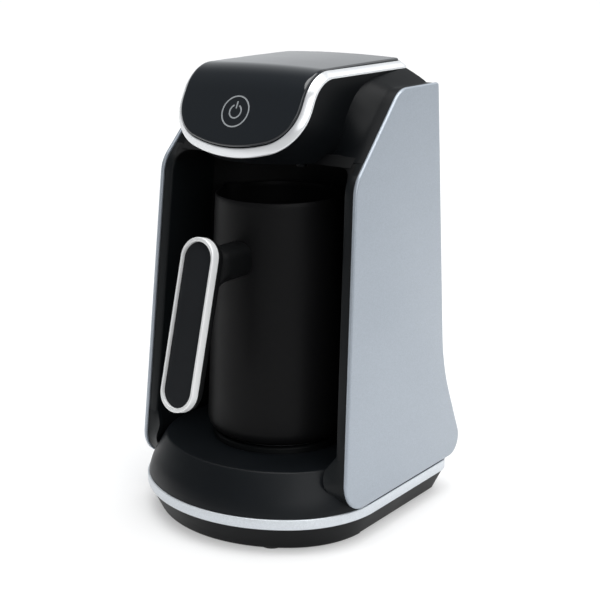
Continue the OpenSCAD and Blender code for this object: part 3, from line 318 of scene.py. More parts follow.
BASE = bow(76, -38.5, 86, 60, 116, 14)
base_abs = moulded_abs("black_abs_base_moulded_satin", "#0b0c0e", 0.45, gloss=0.1)
base_rows = [(9.2, 1), (8.3, 1.15), (7.7, 1.7), (7.2, 2.6), (1.1, 15.1), (1.3, BASE_TOP), (3.3, BASE_TOP),
             (9.2, 5.6), (10.4, 4.9)]
lower_base = make(
    "lower_base_shell", skin([[at(p.x, p.y, z) for p in outline(BASE, i)] for i, z in base_rows]),
    base_abs, "housing", ["lower_base"],
)
SCREW_PLACES = [(46, 8), (-46, 8), (50, 94), (-50, 94)]
BOARD_PLACES = [(37, 70), (-37, 70), (37, 100), (-37, 100)]
FEET_PLACES = [(34, -14), (-34, -14), (46, 84), (-46, 84)]
carve(
    lower_base,
    [rod(x, y, 4.5, 4, BASE_TOP) for x, y in SCREW_PLACES] + [rod(x, y, 3, 4, 10) for x, y in BOARD_PLACES],
    "UNION",
)
carve(
    lower_base,
    [block(-90, 90, 24, 130, -5, 2.5)] + [rod(x, y, 3.3, -1, 9) for x, y in SCREW_PLACES]
    + [rod(x, y, 1.45, 8, 20) for x, y in SCREW_PLACES] + [rod(x, y, 6.6, -1, 2.5) for x, y in FEET_PLACES],
)

# ---- Silver band ----
# Narrow ABS band between the lower base and the deck, sprayed with the silver metallic lacquer of the
# side panels. Its edges are rounded by the mould, so its top edge catches a fine line of light.


def metallic_lacquer(name, colour):
    """Sprayed silver lacquer: aluminium flakes of 0.1 mm drawn at 0.5 mm, under a satin clear coat."""
    material, tree, shader = finish(name, colour, 0.42, Metallic=0.55, Coat_Weight=0.25, Coat_Roughness=0.22)
    place = add(tree, "ShaderNodeTexCoord").outputs["Object"]
    flake = add(tree, "ShaderNodeTexVoronoi", {}, {"Vector": place, "Scale": 1 / 0.0005})
    tone = linear(colour)
    bright, dull = [min(c * 1.07, 1) for c in tone[:3]] + [1], [c * 0.95 for c in tone[:3]] + [1]
    grey = add(tree, "ShaderNodeSeparateXYZ", {}, {"Vector": flake.outputs["Color"]})
    add(
        tree, "ShaderNodeMix", {"data_type": "RGBA"}, {0: grey.outputs["X"], 6: dull, 7: bright},
        [(2, shader.inputs["Base Color"])],
    )
    # Orange peel of the spray: shallow waves about 2 mm long
    peel = add(tree, "ShaderNodeTexNoise", {}, {"Vector": place, "Scale": 1 / 0.002, "Detail": 1.0})
    add(
        tree, "ShaderNodeBump", {}, {"Height": peel.outputs["Fac"], "Strength": 0.04, "Distance": 0.0002},
        [("Normal", shader.inputs["Normal"])],
    )
    drift = add(tree, "ShaderNodeTexNoise", {}, {"Vector": place, "Scale": 1 / 0.05, "Detail": 1.0})
    add(
        tree, "ShaderNodeMapRange", {}, {
            "Value": drift.outputs["Fac"], "From Min": 0.3, "From Max": 0.7, "To Min": 0.38, "To Max": 0.46,
        }, [("Result", shader.inputs["Roughness"])],
    )
    return material


silver_lacquer = metallic_lacquer("silver_metallic_lacquer_sprayed", "#a1a9b2")
# The band's copy of the panels' lacquer is painted lighter than theirs: painted light.
band_lacquer_painted_light = metallic_lacquer("silver_lacquer_band_painted_lighter", "#cfd4d9")
band_rows = [(3, 15.5), (0.5, 15.5), (0.15, 15.65), (0, 16), (0, 20.9), (0.1, 21.25), (0.35, 21.45), (0.7, 21.5),
             (3, 21.5)]
band = [[at(p.x, p.y, z) for p in outline(BASE, i)] for i, z in band_rows]
make("base_band_ring", skin(band + band[:1], caps=(False, False)), band_lacquer_painted_light, "housing",
     ["base_band"])

# ---- Deck ----
# Black ABS dome from the band up to the bay's floor, moulded in one with the floor. It rises steeply from
# the band, then leans in, and ends in a crisp rounded lip. The heater's collar comes up through its floor.
FLOOR_Z = 45
POT_Y = 38.7
PANEL_LEAN = math.radians(2.1)
PANEL = [(-1.8503, 22, 17), (128.3516, 22, 11.3), (105.2, 82, 110), (101.501, 251.5, 2), (61.033, 251.5, 18),
         (15.5144, 205, 18)]


def side(s, u, y, z):
    """Point on the right (s = 1) or left side: u millimetres in from the leaning panel's outer face."""
    c, n = math.cos(PANEL_LEAN), math.sin(PANEL_LEAN)
    return at(s * (75 - u * c - (z - FLOOR_Z) * n), y, FLOOR_Z + (z - FLOOR_Z) * c - u * n)


def curve_through(points, steps):
    """Smooth line through points of any size, with that many steps between each two."""
    line = []
    for i in range(len(points) - 1):
        p = [Vector(points[max(i - 1, 0)]), Vector(points[i]), Vector(points[i + 1]),
             Vector(points[min(i + 2, len(points) - 1)])]
        for k in range(steps):
            t = k / steps
            line.append(0.5 * (2 * p[1] + (p[2] - p[0]) * t + (2 * p[0] - 5 * p[1] + 4 * p[2] - p[3]) * t * t
                               + (3 * p[1] - p[0] - 3 * p[2] + p[3]) * t ** 3))
    return line + [Vector(points[-1])]


deck_abs = moulded_abs("black_abs_deck_moulded_satin", "#0f1215", 0.4)
dome = curve_through([(0.9, 21.2), (1.6, 25), (3.3, 30), (5.9, 35), (8.8, 40), (11.6, 44.3)], 4)
deck_rows = [(20, FLOOR_Z), (13, FLOOR_Z), (12.4, 44.93), (11.95, 44.7)] + [tuple(p) for p in reversed(dome)]
deck_rows += [(3.3, 21.2), (3.3, 15.5), (5.6, 15.5), (5.7, 30), (8.3, 35), (14, 42.6), (20, 42.6)]
deck = make(
    "base_deck_shell", skin([[at(p.x, p.y, z) for p in outline(BASE, i)] for i, z in deck_rows]),
    deck_abs, "housing", ["base_deck"],
)
deck_cuts = [rod(0, POT_Y, 39.7, 38, 50, 96), rod(-34, 92, 4, 38, 50)]
for s in (1, -1):
    deck_cuts.append(skin([[side(s, u, p.x, p.y) for p in outline(PANEL, -0.3)] for u in (2.8, -8)]))
carve(deck, deck_cuts)

# ---- Side panels ----
# Plates of ABS, 2.5 mm thick, sprayed with silver metallic lacquer on all sides. They lean in towards the
# top, their edges are rounded over, and they clip to the black frame behind them.
panel_rows = [(1.4, 0), (0.8, 0.1), (0.35, 0.38), (0.09, 0.8), (0.01, 1.3), (0.01, 1.7), (0.1, 2.1), (0.5, 2.45),
              (0.9, 2.5)]
for s, hand in ((1, "right"), (-1, "left")):
    make(
        "side_panel_%s_plate" % hand,
        skin([[side(s, u, p.x, p.y) for p in outline(PANEL, i)] for i, u in panel_rows]),
        silver_lacquer, "housing", ["side_panel_%s" % hand],
    )

# ---- Front strips ----
# Black ABS mouldings beside the bay, set 0.8 mm behind the panels' edges. Each has a narrow front face, a
# wall along the bay, a foot that flares on to the deck's slope, and a rounded corner under the head.
strip_abs = moulded_abs("black_abs_strips_moulded_satin", "#0e1113", 0.42)
SEAM_Z = 217


def front_path(inset, top):
    """The panels' front edge from the foot's arc up to a height, moved in by inset."""
    points = outline(PANEL, inset, 3)
    counts = []
    for i, (x, y, radius) in enumerate(PANEL):
        here, before, after = Vector((x, y)), Vector(PANEL[i - 1][:2]), Vector(PANEL[(i + 1) % len(PANEL)][:2])
        counts.append(math.ceil(math.degrees((here - before).angle(after - here)) / 3) + 1)
    foot = points[: counts[0]]
    slant = points[len(points) - counts[5] :]
    run = [foot[0].lerp(slant[-1], k / 12) for k in range(1, 12)]
    end = slant[0]
    rise = (points[len(points) - counts[5] - 1] - end).normalized()
    last = end + rise * (top - end.y) / rise.y
    rest = [end.lerp(last, k / 3) for k in range(1, 4)]
    return list(reversed(foot)) + run + list(reversed(slant)) + rest


strip_section = [(2.8, 10), (2.8, 1.5), (2.9, 1.05), (3.3, 0.8), (7.2, 0.8), (8.1, 1.05), (8.6, 1.6), (8.8, 2.4)]


def strip_edge(u, inset):
    """Line along a strip's front, set back at the foot to make room for the flare."""
    back = 2.6 if u > 3 else 0
    return [(p.x + back * min(max((54 - p.y) / 6, 0), 1), max(p.y, 23.75)) for p in front_path(inset, SEAM_Z - 0.3)]


for s, hand in ((1, "right"), (-1, "left")):
    rows = [[side(s, u, y, z) for y, z in strip_edge(u, i)] for u, i in strip_section]
    rows += [[side(s, u, 62, z) for y, z in strip_edge(8.8, 2.4)] for u in (8.8, 6.4)]
    rows += [[side(s, 6.4, max(y, 14), z) for y, z in strip_edge(6.4, 10)]]
    rows.append(rows[0])
    make("arm_%s_strip" % hand, skin(rows, ring=False), strip_abs, "housing", ["arm_%s" % hand])

FLARE_EDGE = [(73.0, 13.4, 23.8), (65.4, 3, 29.5), (62, -3.3, 38.5), (60.9, -1.5, 45.3), (62.2, 0.1, 48.6),
              (64.2, 1.6, 51.6), (66.2, 3.2, 55)]


def even(line, n):
    """That many points at even distances along a line."""
    gaps = [(b - a).length for a, b in zip(line, line[1:])]
    points, i, done = [], 0, 0.0
    for k in range(n):
        want = sum(gaps) * k / (n - 1)
        while i < len(gaps) - 1 and done + gaps[i] < want:
            done += gaps[i]
            i += 1
        points.append(line[i].lerp(line[i + 1], min((want - done) / gaps[i], 1)))
    return points


for s, hand in ((1, "right"), (-1, "left")):
    outer = even([p for p in front_path(0.8, SEAM_Z) if p.y < 55], 33)
    inner = even(curve_through(FLARE_EDGE, 6), 33)
    rows = []
    for p, q in zip(outer, inner):
        start, mid, end = side(s, 2.9, p.x, p.y), side(s, 7.6, p.x, p.y), at(s * q.x, q.y, q.z)
        mid = start.lerp(mid, min(max(s * (start.x - end.x) / 0.0075, 0.1), 1))
        row = [start.lerp(mid, k / 6).lerp(mid.lerp(end, k / 6), k / 6) for k in range(7)]
        rows.append(row + [end + Vector((0, 0.6, -0.1)) / 1000, end + Vector((0, 3, -1.5)) / 1000])
    make("arm_foot_%s" % hand, skin(rows, ring=False), strip_abs, "housing", wall=0.4)

# ---- Bay ----
# Black ABS liner with a curved back wall, and the ceiling under the head. Both are in shade, so their
# satin finish shows only as soft bands of light. The bay's top corners are rounded with small fillets.
liner_abs = moulded_abs("black_abs_liner_moulded_matt", "#090a0b", 0.5)
CEILING_Z = 211.8


def dress(material, *nodes):
    """Gives CAD nodes that keep their shape their real material."""
    for node in nodes:
        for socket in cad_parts[node].material_slots:
            socket.material = material


dress(liner_abs, "bay_liner", "bay_ceiling")
CORNER_R = 7


def front_at(inset, z):
    """Place of the panels' front edge, moved in by inset, at a height."""
    path = front_path(inset, SEAM_Z)
    return next(p.lerp(q, (z - p.y) / (q.y - p.y)).x for p, q in zip(path, path[1:]) if p.y <= z < q.y)


for s, hand in ((1, "right"), (-1, "left")):
    rows = []
    for k in range(13):
        turn = math.pi / 2 * k / 12
        row = []
        for back, inset, out in ((1, 2.4, 0), (0, 2.4, 0), (0, 1.6, 0.2), (0, 1.05, 0.7), (0, 0.8, 1.6)):
            reach = CORNER_R + out
            u, z = 8.8 + CORNER_R - reach * math.sin(turn), CEILING_Z - CORNER_R + reach * math.cos(turn)
            row.append(side(s, u, 60 if back else front_at(inset, z), z))
        if turn < math.pi / 4:
            u, z = 8.8 + CORNER_R - (CORNER_R + 2.4) * math.tan(turn), CEILING_Z + 2.4
        else:
            u, z = 6.4, CEILING_Z - CORNER_R + (CORNER_R + 2.4) / math.tan(turn)
        row.append(side(s, u, front_at(0.8, z), z))
        rows.append(row)
    make("bay_corner_%s" % hand, skin(rows, ring=False), liner_abs, "housing", wall=0.8)

# ---- Rear cover ----
# Black ABS cover over the back, with a column of six vent slots, four sunk screws and the cord's gland at
# its foot. It is moulded like the strips and keeps their satin grain.
rear_abs = moulded_abs("black_abs_rear_moulded_satin", "#181c1e", 0.42)
dress(rear_abs, "rear_cover")

# ---- Head: face outline and bend ----
# The head carries one bent sheet: a face that slopes at 62 degrees, a rounded bend and a flat top. Its
# pieces are drawn flat, with s up the face and n out of it, and then wrapped round that bend.
TILT = math.radians(62.3)
HEAD_TOP, FACE_Z, BEND_R, HEAD_REAR = 264.5, 240.1, 26, 102
APEX = (HEAD_TOP - FACE_Z) / math.sin(TILT)
BEND_S = APEX - BEND_R * math.tan(TILT / 2)
BEND_Y = APEX * math.cos(TILT) + BEND_R * math.tan(TILT / 2)
TOP_S = BEND_S + BEND_R * TILT
REAR_S = TOP_S + HEAD_REAR - BEND_Y
HALF = 40.5
FACE = bow(HALF, -19.6, 80, 23, REAR_S, 3)


def wrapped(x, s, n):
    """Point of the bent sheet: x across, s up the face and back along the top, n out of it."""
    if s <= BEND_S:
        return at(x, s * math.cos(TILT) - n * math.sin(TILT), FACE_Z + s * math.sin(TILT) + n * math.cos(TILT))
    if s >= TOP_S:
        return at(x, BEND_Y + s - TOP_S, HEAD_TOP + n)
    way = TILT - (s - BEND_S) / BEND_R
    return at(x, BEND_Y - (BEND_R + n) * math.sin(way), HEAD_TOP - BEND_R + (BEND_R + n) * math.cos(way))


def face_line(inset, step=2.5):
    """Outline of the control panel in the flat, with points every few millimetres round the bend."""
    line = outline(FACE, inset, step)
    dense = []
    for i, p in enumerate(line):
        q = line[(i + 1) % len(line)]
        runs = 1
        if abs(q.y - p.y) > 20:
            runs = 60
        elif abs(q.x - p.x) > 20:
            runs = 16
        dense += [p.lerp(q, k / runs) for k in range(runs)]
    return dense


# ---- Top cover ----
# Black ABS cover of the head: a nose that carries the control panel, and shoulders that sweep down in a
# hollow curve from the head's sides to the side panels' top edges, with a soft crease where they start.
cover_abs = moulded_abs("black_abs_cover_moulded_satin", "#0a0c0e", 0.4, gloss=0.08)


def strip_top(y):
    """Height of the panels' slanted and top edge at a place, 0.8 mm inside it."""
    line = outline(PANEL, 0.8, 3)
    best = 0
    for i, p in enumerate(line):
        q = line[(i + 1) % len(line)]
        if min(p.x, q.x) <= y <= max(p.x, q.x) and abs(q.x - p.x) > 1e-6:
            best = max(best, p.y + (q.y - p.y) * (y - p.x) / (q.x - p.x))
    return best


CREASE = curve_through([(26, 213), (29.5, 214.2), (32, 216.4), (34, 220.6), (37, 228), (41, 236.2), (46, 243.4),
                        (51, 248.4), (60.5, 253.4), (73.5, 256.2), (90, 257.9), (101.55, 258.3)], 3)
NOSE_SIDE = 44.4
stations = []
for p in CREASE:
    y, crease_z = p
    low = strip_top(min(y, 98))
    edge = 75 - 2.8 - (low - FLOOR_Z) * math.tan(PANEL_LEAN)
    half = [(edge, 212.2), (edge, low - 0.9), (edge - 0.25, low - 0.3), (edge - 0.9, low), (edge - 6, low)]
    hollow = 1.6 - 0.75 * min(max((y - 45) / 35, 0), 1)
    for k in range(1, 13):
        t = k / 12
        half.append((edge - 6 - (edge - 6 - NOSE_SIDE) * t, low + (crease_z - low) * t ** hollow))
    stations.append([at(x, y, z) for x, z in half] + [at(-x, y, z) for x, z in reversed(half)])
top_cover = make("top_cover_shell", skin(stations), cover_abs, "housing", ["top_cover"])
nose = skin([[
    at(p.x, p.y * math.cos(TILT) - n * math.sin(TILT), FACE_Z + p.y * math.sin(TILT) + n * math.cos(TILT))
    for p in outline(bow(HALF, -19.6, 80, 23, 120, 0), -4.1)] for n in (-5.6, -150)])
nose_piece = make("nose_tool", nose, cover_abs, "housing")
START_S = (CEILING_Z + 0.3 - FACE_Z + 5.7 * math.cos(TILT)) / math.sin(TILT)
profile = [wrapped(0, s, -5.7) for s in [START_S] + [BEND_S + (TOP_S - BEND_S) * k / 24 for k in range(25)]]
profile += [at(0, 101.6, HEAD_TOP - 5.7), at(0, 101.6, CEILING_Z + 0.3)]
carve(nose_piece, [skin([[p + Vector((x, 0, 0)) for p in profile] for x in (-0.06, 0.06)])], "INTERSECT")
bpy.context.view_layer.update()
nose_shape = ([v.co.copy() for v in nose_piece.data.vertices], [tuple(f.vertices) for f in nose_piece.data.polygons])
bpy.data.objects.remove(nose_piece)
carve(top_cover, [nose_shape], "UNION", 28)

# ---- Head tray and chrome trim ----
# The tray is a hidden black plate under the control panel. The trim is ABS with a bright chrome plating:
# a narrow flat edge by the panel, then a bevel of 45 degrees that runs round the face and along the top.
# The plating is drawn only half metal, so its pale colour also shows as diffuse white: painted reflection that keeps
# the trim bright.
chrome, chrome_tree, chrome_shader = finish("bright_chrome_abs_with_painted_reflection", "#e9ebed", 0.22, Metallic=0.55)
chrome_place = add(chrome_tree, "ShaderNodeTexCoord").outputs["Object"]
chrome_cloud = add(chrome_tree, "ShaderNodeTexNoise", {}, {"Vector": chrome_place, "Scale": 1 / 0.012, "Detail": 3.0})
add(
    chrome_tree, "ShaderNodeMapRange", {}, {
        "Value": chrome_cloud.outputs["Fac"], "From Min": 0.3, "From Max": 0.7, "To Min": 0.19, "To Max": 0.26,
    }, [("Result", chrome_shader.inputs["Roughness"])],
)
trim_section = [(0.3, -6.4), (0.3, -2.7), (0.45, -2.45), (0.8, -2.4), (1.15, -2.52), (4.15, -5.0), (4.45, -5.35),
                (4.6, -5.85), (4.6, -6.4), (4.3, -6.5), (0.6, -6.5)]
trim_rows = [[wrapped(p.x, min(p.y, REAR_S + 0.95), n) for p in face_line(-out)] for out, n in trim_section]
trim = make("head_trim_chrome", skin(trim_rows + trim_rows[:1], caps=(False, False)), chrome, "housing",
            ["head_trim"])
carve(trim, [block(-38, 38, 99, 120, 250, 270)])
dress(liner_abs, "head_tray")

# ---- Control panel ----
# One sheet of blue-black acrylic, gloss polished, bent over the head's front and slightly crowned across.
# The power key is touch-sensitive: its symbol is a thin grey print, and nothing on the panel moves.
acrylic, acrylic_tree, acrylic_shader = finish(
    "blue_black_acrylic_gloss", "#10151a", 0.1, IOR=1.49, Coat_Weight=0.3, Coat_Roughness=0.04)
acrylic_place = add(acrylic_tree, "ShaderNodeTexCoord").outputs["Object"]
acrylic_cloud = add(acrylic_tree, "ShaderNodeTexNoise", {}, {"Vector": acrylic_place, "Scale": 1 / 0.03, "Detail": 2.0})
add(
    acrylic_tree, "ShaderNodeMapRange", {}, {
        "Value": acrylic_cloud.outputs["Fac"], "From Min": 0.3, "From Max": 0.7, "To Min": 0.08, "To Max": 0.14,
    }, [("Result", acrylic_shader.inputs["Roughness"])],
)
CROWN = 1
SAG = 0.7
panel_edge = [(0.9, -2.5), (0.15, -2.4), (0, -2.1), (0, -1), (0.15, -0.5), (0.5, -0.12), (1, 0)]
flat_rows = [[Vector((p.x, p.y, n)) for p in face_line(i)] for i, n in panel_edge]
flat_vertices, flat_faces = skin(flat_rows)
flat_mesh = bpy.data.meshes.new("flat")
flat_mesh.from_pydata(flat_vertices, [], flat_faces)
flat = bmesh.new()
flat.from_mesh(flat_mesh)
for k in range(-9, 10):
    bmesh.ops.bisect_plane(flat, geom=flat.verts[:] + flat.edges[:] + flat.faces[:], plane_co=(k * 4.2, 0, 0),
                           plane_no=(1, 0, 0))
for k in range(42):
    bmesh.ops.bisect_plane(flat, geom=flat.verts[:] + flat.edges[:] + flat.faces[:],
                           plane_co=(0, -18 + k * (REAR_S + 16) / 41, 0), plane_no=(0, 1, 0))
for v in flat.verts:
    x, s, n = v.co
    back = min(max((s - TOP_S) / (REAR_S - TOP_S), 0), 1)
    v.co = wrapped(x, s, n - CROWN * (x / HALF) ** 2 - SAG * min(max((s + 5) / (TOP_S + 5), 0), 1) ** 2 * (1 - back) ** 2)
flat.verts.index_update()
panel_shape = ([v.co.copy() for v in flat.verts], [tuple(v.index for v in f.verts) for f in flat.faces])
flat.free()
make("control_panel_acrylic", panel_shape, acrylic, "housing", ["control_panel"], sharp=50)

ink, ink_tree, ink_shader = finish("grey_screen_printed_ink", "#a9adb0", 0.5)
ink_place = add(ink_tree, "ShaderNodeTexCoord").outputs["Object"]
ink_dots = add(ink_tree, "ShaderNodeTexNoise", {}, {"Vector": ink_place, "Scale": 1 / 0.0005, "Detail": 1.0})
add(
    ink_tree, "ShaderNodeMix", {"data_type": "RGBA"}, {
        0: ink_dots.outputs["Fac"], 6: linear("#85898c"), 7: linear("#9da1a4")},
    [(2, ink_shader.inputs["Base Color"])],
)
dress(ink, "power_symbol")

# ---- Heater ----
# A machined aluminium plate in a black collar, let into the bay's floor. The lathe left fine rings on the
# plate, 0.3 mm apart and drawn at 1.2 mm, and a sprung steel sensor sits in its middle.


def metal(name, colour, roughness, ring=0.0, centre=(0, POT_Y), grain=0.0009):
    """Bare metal: fine scratches in the roughness, or turned rings about an upright axis."""
    material, tree, shader = finish(name, colour, roughness, Metallic=1.0)
    place = add(tree, "ShaderNodeTexCoord").outputs["Object"]
    if ring:
        middle = at(centre[0], centre[1], 0)
        shifted = add(tree, "ShaderNodeVectorMath", {"operation": "SUBTRACT"}, {0: place, 1: middle})
        height = add(
            tree, "ShaderNodeTexWave", {"wave_type": "RINGS", "rings_direction": "Z"},
            {"Vector": shifted.outputs["Vector"], "Scale": 1000 / ring / 20 * math.pi, "Distortion": 0.2},
        ).outputs["Fac"]
    else:
        stretch = add(tree, "ShaderNodeMapping", {}, {"Vector": place, "Scale": (1, 1, 0.15)})
        height = add(
            tree, "ShaderNodeTexNoise", {},
            {"Vector": stretch.outputs["Vector"], "Scale": 1 / grain, "Detail": 2.0},
        ).outputs["Fac"]
    add(
        tree, "ShaderNodeMapRange", {},
        {"Value": height, "From Min": 0.2, "From Max": 0.8, "To Min": roughness - 0.07, "To Max": roughness + 0.07},
        [("Result", shader.inputs["Roughness"])],
    )
    add(
        tree, "ShaderNodeBump", {}, {"Height": height, "Strength": 0.1, "Distance": 0.0001},
        [("Normal", shader.inputs["Normal"])],
    )
    return material


plate_metal = metal("turned_aluminium_plate", "#8d9094", 0.4, ring=1.2)
disc_metal = metal("turned_aluminium_disc", "#a3a6a9", 0.35, ring=1.2)
steel = metal("drawn_steel_bright", "#b9bcbe", 0.35)
zinc_steel = metal("zinc_plated_screw_steel", "#b5b8b6", 0.38)
element_steel = metal("stainless_heater_tube", "#6f7275", 0.42)
collar_abs = moulded_abs("black_nylon_collar_moulded", "#0e1011", 0.45)
dress(plate_metal, "heating_plate")
dress(disc_metal, "pot_disc")
dress(element_steel, "heating_element")
dress(collar_abs, "heater_collar", "sensor_bracket")
dress(steel, "heater_clamp", "temperature_sensor", "touch_spring", "handle_bracket")
dress(metal("black_oxide_screw_steel", "#161718", 0.5), "head_screws")
dress(zinc_steel, "base_screws", "rear_screws", "heater_screws", "board_screws", "touch_screws",
      "handle_screws")

# ---- Sensor spring ----
# Coil of drawn steel wire, 0.6 mm thick, with three turns. It stands on the clamp and holds the sensor up against the
# pot.
SPRING_R, SPRING_WIRE, SPRING_TURNS, SPRING_GAP = 3.6, 0.3, 3, 0.02
spring_low, spring_high = [corner[2] * 1000 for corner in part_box("sensor_spring")]
spring_rise = spring_high - spring_low - 2 * SPRING_WIRE - SPRING_GAP
coil = []
for k in range(SPRING_TURNS * 36 + 1):
    turn = math.radians(10 * k)
    ring = []
    for j in range(12):
        out, up = SPRING_WIRE * math.cos(math.radians(30 * j)), SPRING_WIRE * math.sin(math.radians(30 * j))
        z = spring_low + SPRING_WIRE + spring_rise * k / (SPRING_TURNS * 36) + up
        ring.append(at((SPRING_R + out) * math.cos(turn), POT_Y + (SPRING_R + out) * math.sin(turn), z))
    coil.append(ring)
sensor_coil = make("sensor_spring_coil", skin(coil), steel, "housing", ["sensor_spring"], sharp=50)
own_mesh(sensor_coil)

# ---- Rubber, silicone and small electric parts ----
# Feet and gland are black rubber, the gasket red silicone. The parts on the boards are hidden inside, and
# each has the plain finish of its kind: solder mask, potting plastic, winding tape, ceramic.


def fine_solid(name, colour, roughness, grain_mm, depth=0.12, **more):
    """Plain solid with a fine grain of a real size in its tone and its surface."""
    material, tree, shader = finish(name, colour, roughness, **more)
    place = add(tree, "ShaderNodeTexCoord").outputs["Object"]
    spots = add(tree, "ShaderNodeTexNoise", {}, {"Vector": place, "Scale": 1000 / grain_mm, "Detail": 3.0})
    tone = linear(colour)[:3]
    add(
        tree, "ShaderNodeMix", {"data_type": "RGBA"}, {
            0: spots.outputs["Fac"], 6: [c * (1 - depth) for c in tone] + [1],
            7: [min(c * (1 + depth), 1) for c in tone] + [1]},
        [(2, shader.inputs["Base Color"])],
    )
    add(
        tree, "ShaderNodeBump", {}, {"Height": spots.outputs["Fac"], "Strength": 0.12, "Distance": 0.0002},
        [("Normal", shader.inputs["Normal"])],
    )
    return material


dress(fine_solid("black_rubber_moulded_matt", "#141414", 0.8, 0.8), "rubber_feet", "cord_gland", "panel_cable")
dress(fine_solid("red_silicone_pressed", "#b8432e", 0.6, 1.0), "heater_gasket", "heater_leads")
dress(fine_solid("green_solder_mask", "#1f5a3a", 0.3, 2.5, 0.3), "touch_board", "foam_board", "power_board")
dress(fine_solid("black_phenolic_case", "#121212", 0.45, 1.0), "buzzer")
dress(fine_solid("dark_red_polycarbonate_lens", "#1a0606", 0.4, 3.0), "foam_sensor")
dress(fine_solid("cream_steatite_ceramic", "#c9b78a", 0.55, 0.6), "thermal_fuse")
dress(fine_solid("blue_polyester_case", "#2b5fa8", 0.4, 1.2), "relay")
dress(fine_solid("amber_winding_tape", "#b58a3a", 0.35, 2.0, 0.25), "transformer")
dress(fine_solid("dark_blue_pvc_sleeve", "#20305a", 0.3, 2.0), "capacitor")
dress(fine_solid("green_nylon_terminals", "#2f6b46", 0.45, 1.0), "terminal_block")

# ---- Pot ----
# Deep-drawn steel pot with a black non-stick coating inside and out: near black, satin, with upright soft
# bands of light. Its foot edge is rounded, its wall tapers to the rim, and a pouring lip is pressed out
# of the rim on its left.
POT_Z, RIM_Z = 49.0, 190.2


def coating(name, colour, roughness):
    """Sprayed and baked non-stick coating: satin, with a pebbled grain of 0.4 mm drawn at 0.8 mm."""
    material, tree, shader = finish(name, colour, roughness, IOR=1.36, Specular_IOR_Level=0.18)
    place = add(tree, "ShaderNodeTexCoord").outputs["Object"]
    pebbles = add(tree, "ShaderNodeTexNoise", {}, {"Vector": place, "Scale": 1 / 0.0008, "Detail": 2.0})
    add(
        tree, "ShaderNodeBump", {}, {"Height": pebbles.outputs["Fac"], "Strength": 0.06, "Distance": 0.0001},
        [("Normal", shader.inputs["Normal"])],
    )
    cloud = add(tree, "ShaderNodeTexNoise", {}, {"Vector": place, "Scale": 1 / 0.025, "Detail": 2.0})
    add(
        tree, "ShaderNodeMapRange", {}, {
            "Value": cloud.outputs["Fac"], "From Min": 0.3, "From Max": 0.7,
            "To Min": roughness - 0.03, "To Max": roughness + 0.05},
        [("Result", shader.inputs["Roughness"])],
    )
    return material


pot_coating = coating("black_non_stick_coating_baked", "#0f0f10", 0.45)


def pot_radius(z):
    """Outer radius of the straight wall."""
    return 43.2 + (36.5 - 43.2) * (z - POT_Z) / (RIM_Z - POT_Z)


pot_profile = [(33.2, POT_Z + 2.2), (33.2, POT_Z + 0.3), (34, POT_Z + 0.02)]
for k in range(9):
    t = math.radians(90 * k / 8)
    pot_profile.append((34.8 + 8 * math.sin(t), POT_Z + 8 - 8 * math.cos(t)))
pot_profile += [(pot_radius(z), z) for z in range(60, 170, 10)]
pot_profile += [(pot_radius(z), z) for z in (172, 175, 178, 181, 184, 187, 189.4)]
pot_profile += [(36.25, 189.95), (35.8, 190.2), (35.3, 190.0), (35.05, 189.5)]
pot_profile += [(pot_radius(z) - 1.4, z) for z in (187, 184, 181, 178, 175, 172)]
pot_profile += [(pot_radius(z) - 1.4, z) for z in range(165, 60, -10)]
for k in range(8, -1, -1):
    t = math.radians(90 * k / 8)
    pot_profile.append((34.8 + 6.6 * math.sin(t), POT_Z + 10 - 6.6 * math.cos(t)))
pot_profile += [(20, POT_Z + 3.4), (0.02, POT_Z + 3.4)]


def lipped(r, z, turn):
    """Point of the pot's wall, pushed out where the pouring lip is."""
    away = math.degrees(abs((turn - math.pi + math.pi) % (2 * math.pi) - math.pi))
    rise = max(0.0, (z - (RIM_Z - 14)) / 14) ** 1.6
    push = 3.5 * rise * max(0.0, 1 - away / 15) ** 1.3
    lift = 1.3 * rise * max(0.0, 1 - away / 15)
    return at((r + push) * math.cos(turn), POT_Y + (r + push) * math.sin(turn), z + lift)


pot_rows = [[lipped(r, z, 2 * math.pi * k / 144) for k in range(144)] for r, z in pot_profile]
pot_rows.append([at(0.02 * math.cos(k), POT_Y + 0.02 * math.sin(k), POT_Z + 2.2) for k in range(144)])
pot = make("pot_body_coated", skin(pot_rows + pot_rows[:1], caps=(False, False)), pot_coating, "pot",
           ["pot_body"], sharp=40)

# ---- Handle ----
# Black phenolic neck and grip, with a plated rim let into the grip's front round a dark satin insert. The
# neck is a rounded box that flares into the grip's back. All are moulded, and screwed to the pot's stud.
GRIP_LEAN = math.radians(15.2)
GRIP_Z = POT_Z + 81.2
GRIP_Y = POT_Y - 83


def on_grip(x, up, out):
    """Point of the grip: x across, up along it and out of its face."""
    c, n = math.cos(GRIP_LEAN), math.sin(GRIP_LEAN)
    return at(x, GRIP_Y + up * n - out * c, GRIP_Z + up * c + out * n)


def stadium(draw, draw_l, sides=20):
    """Long round-ended outline of the grip, moved in across and along."""
    r, half = 11.3 - draw, 36.5 + draw - draw_l
    points = []
    for s in (1, -1):
        for k in range(sides + 1):
            t = math.pi * k / sides + (0 if s > 0 else math.pi)
            points.append((r * math.cos(t), s * half + r * math.sin(t)))
    return points


def grip_skin(rows, closed=False):
    """Skin through outlines of the grip: how far each is moved in across and along, and its height."""
    rings = [[on_grip(x, up, n) for x, up in stadium(d, dl)] for d, dl, n in rows]
    return skin(rings + rings[:1], caps=(False, False)) if closed else skin(rings)
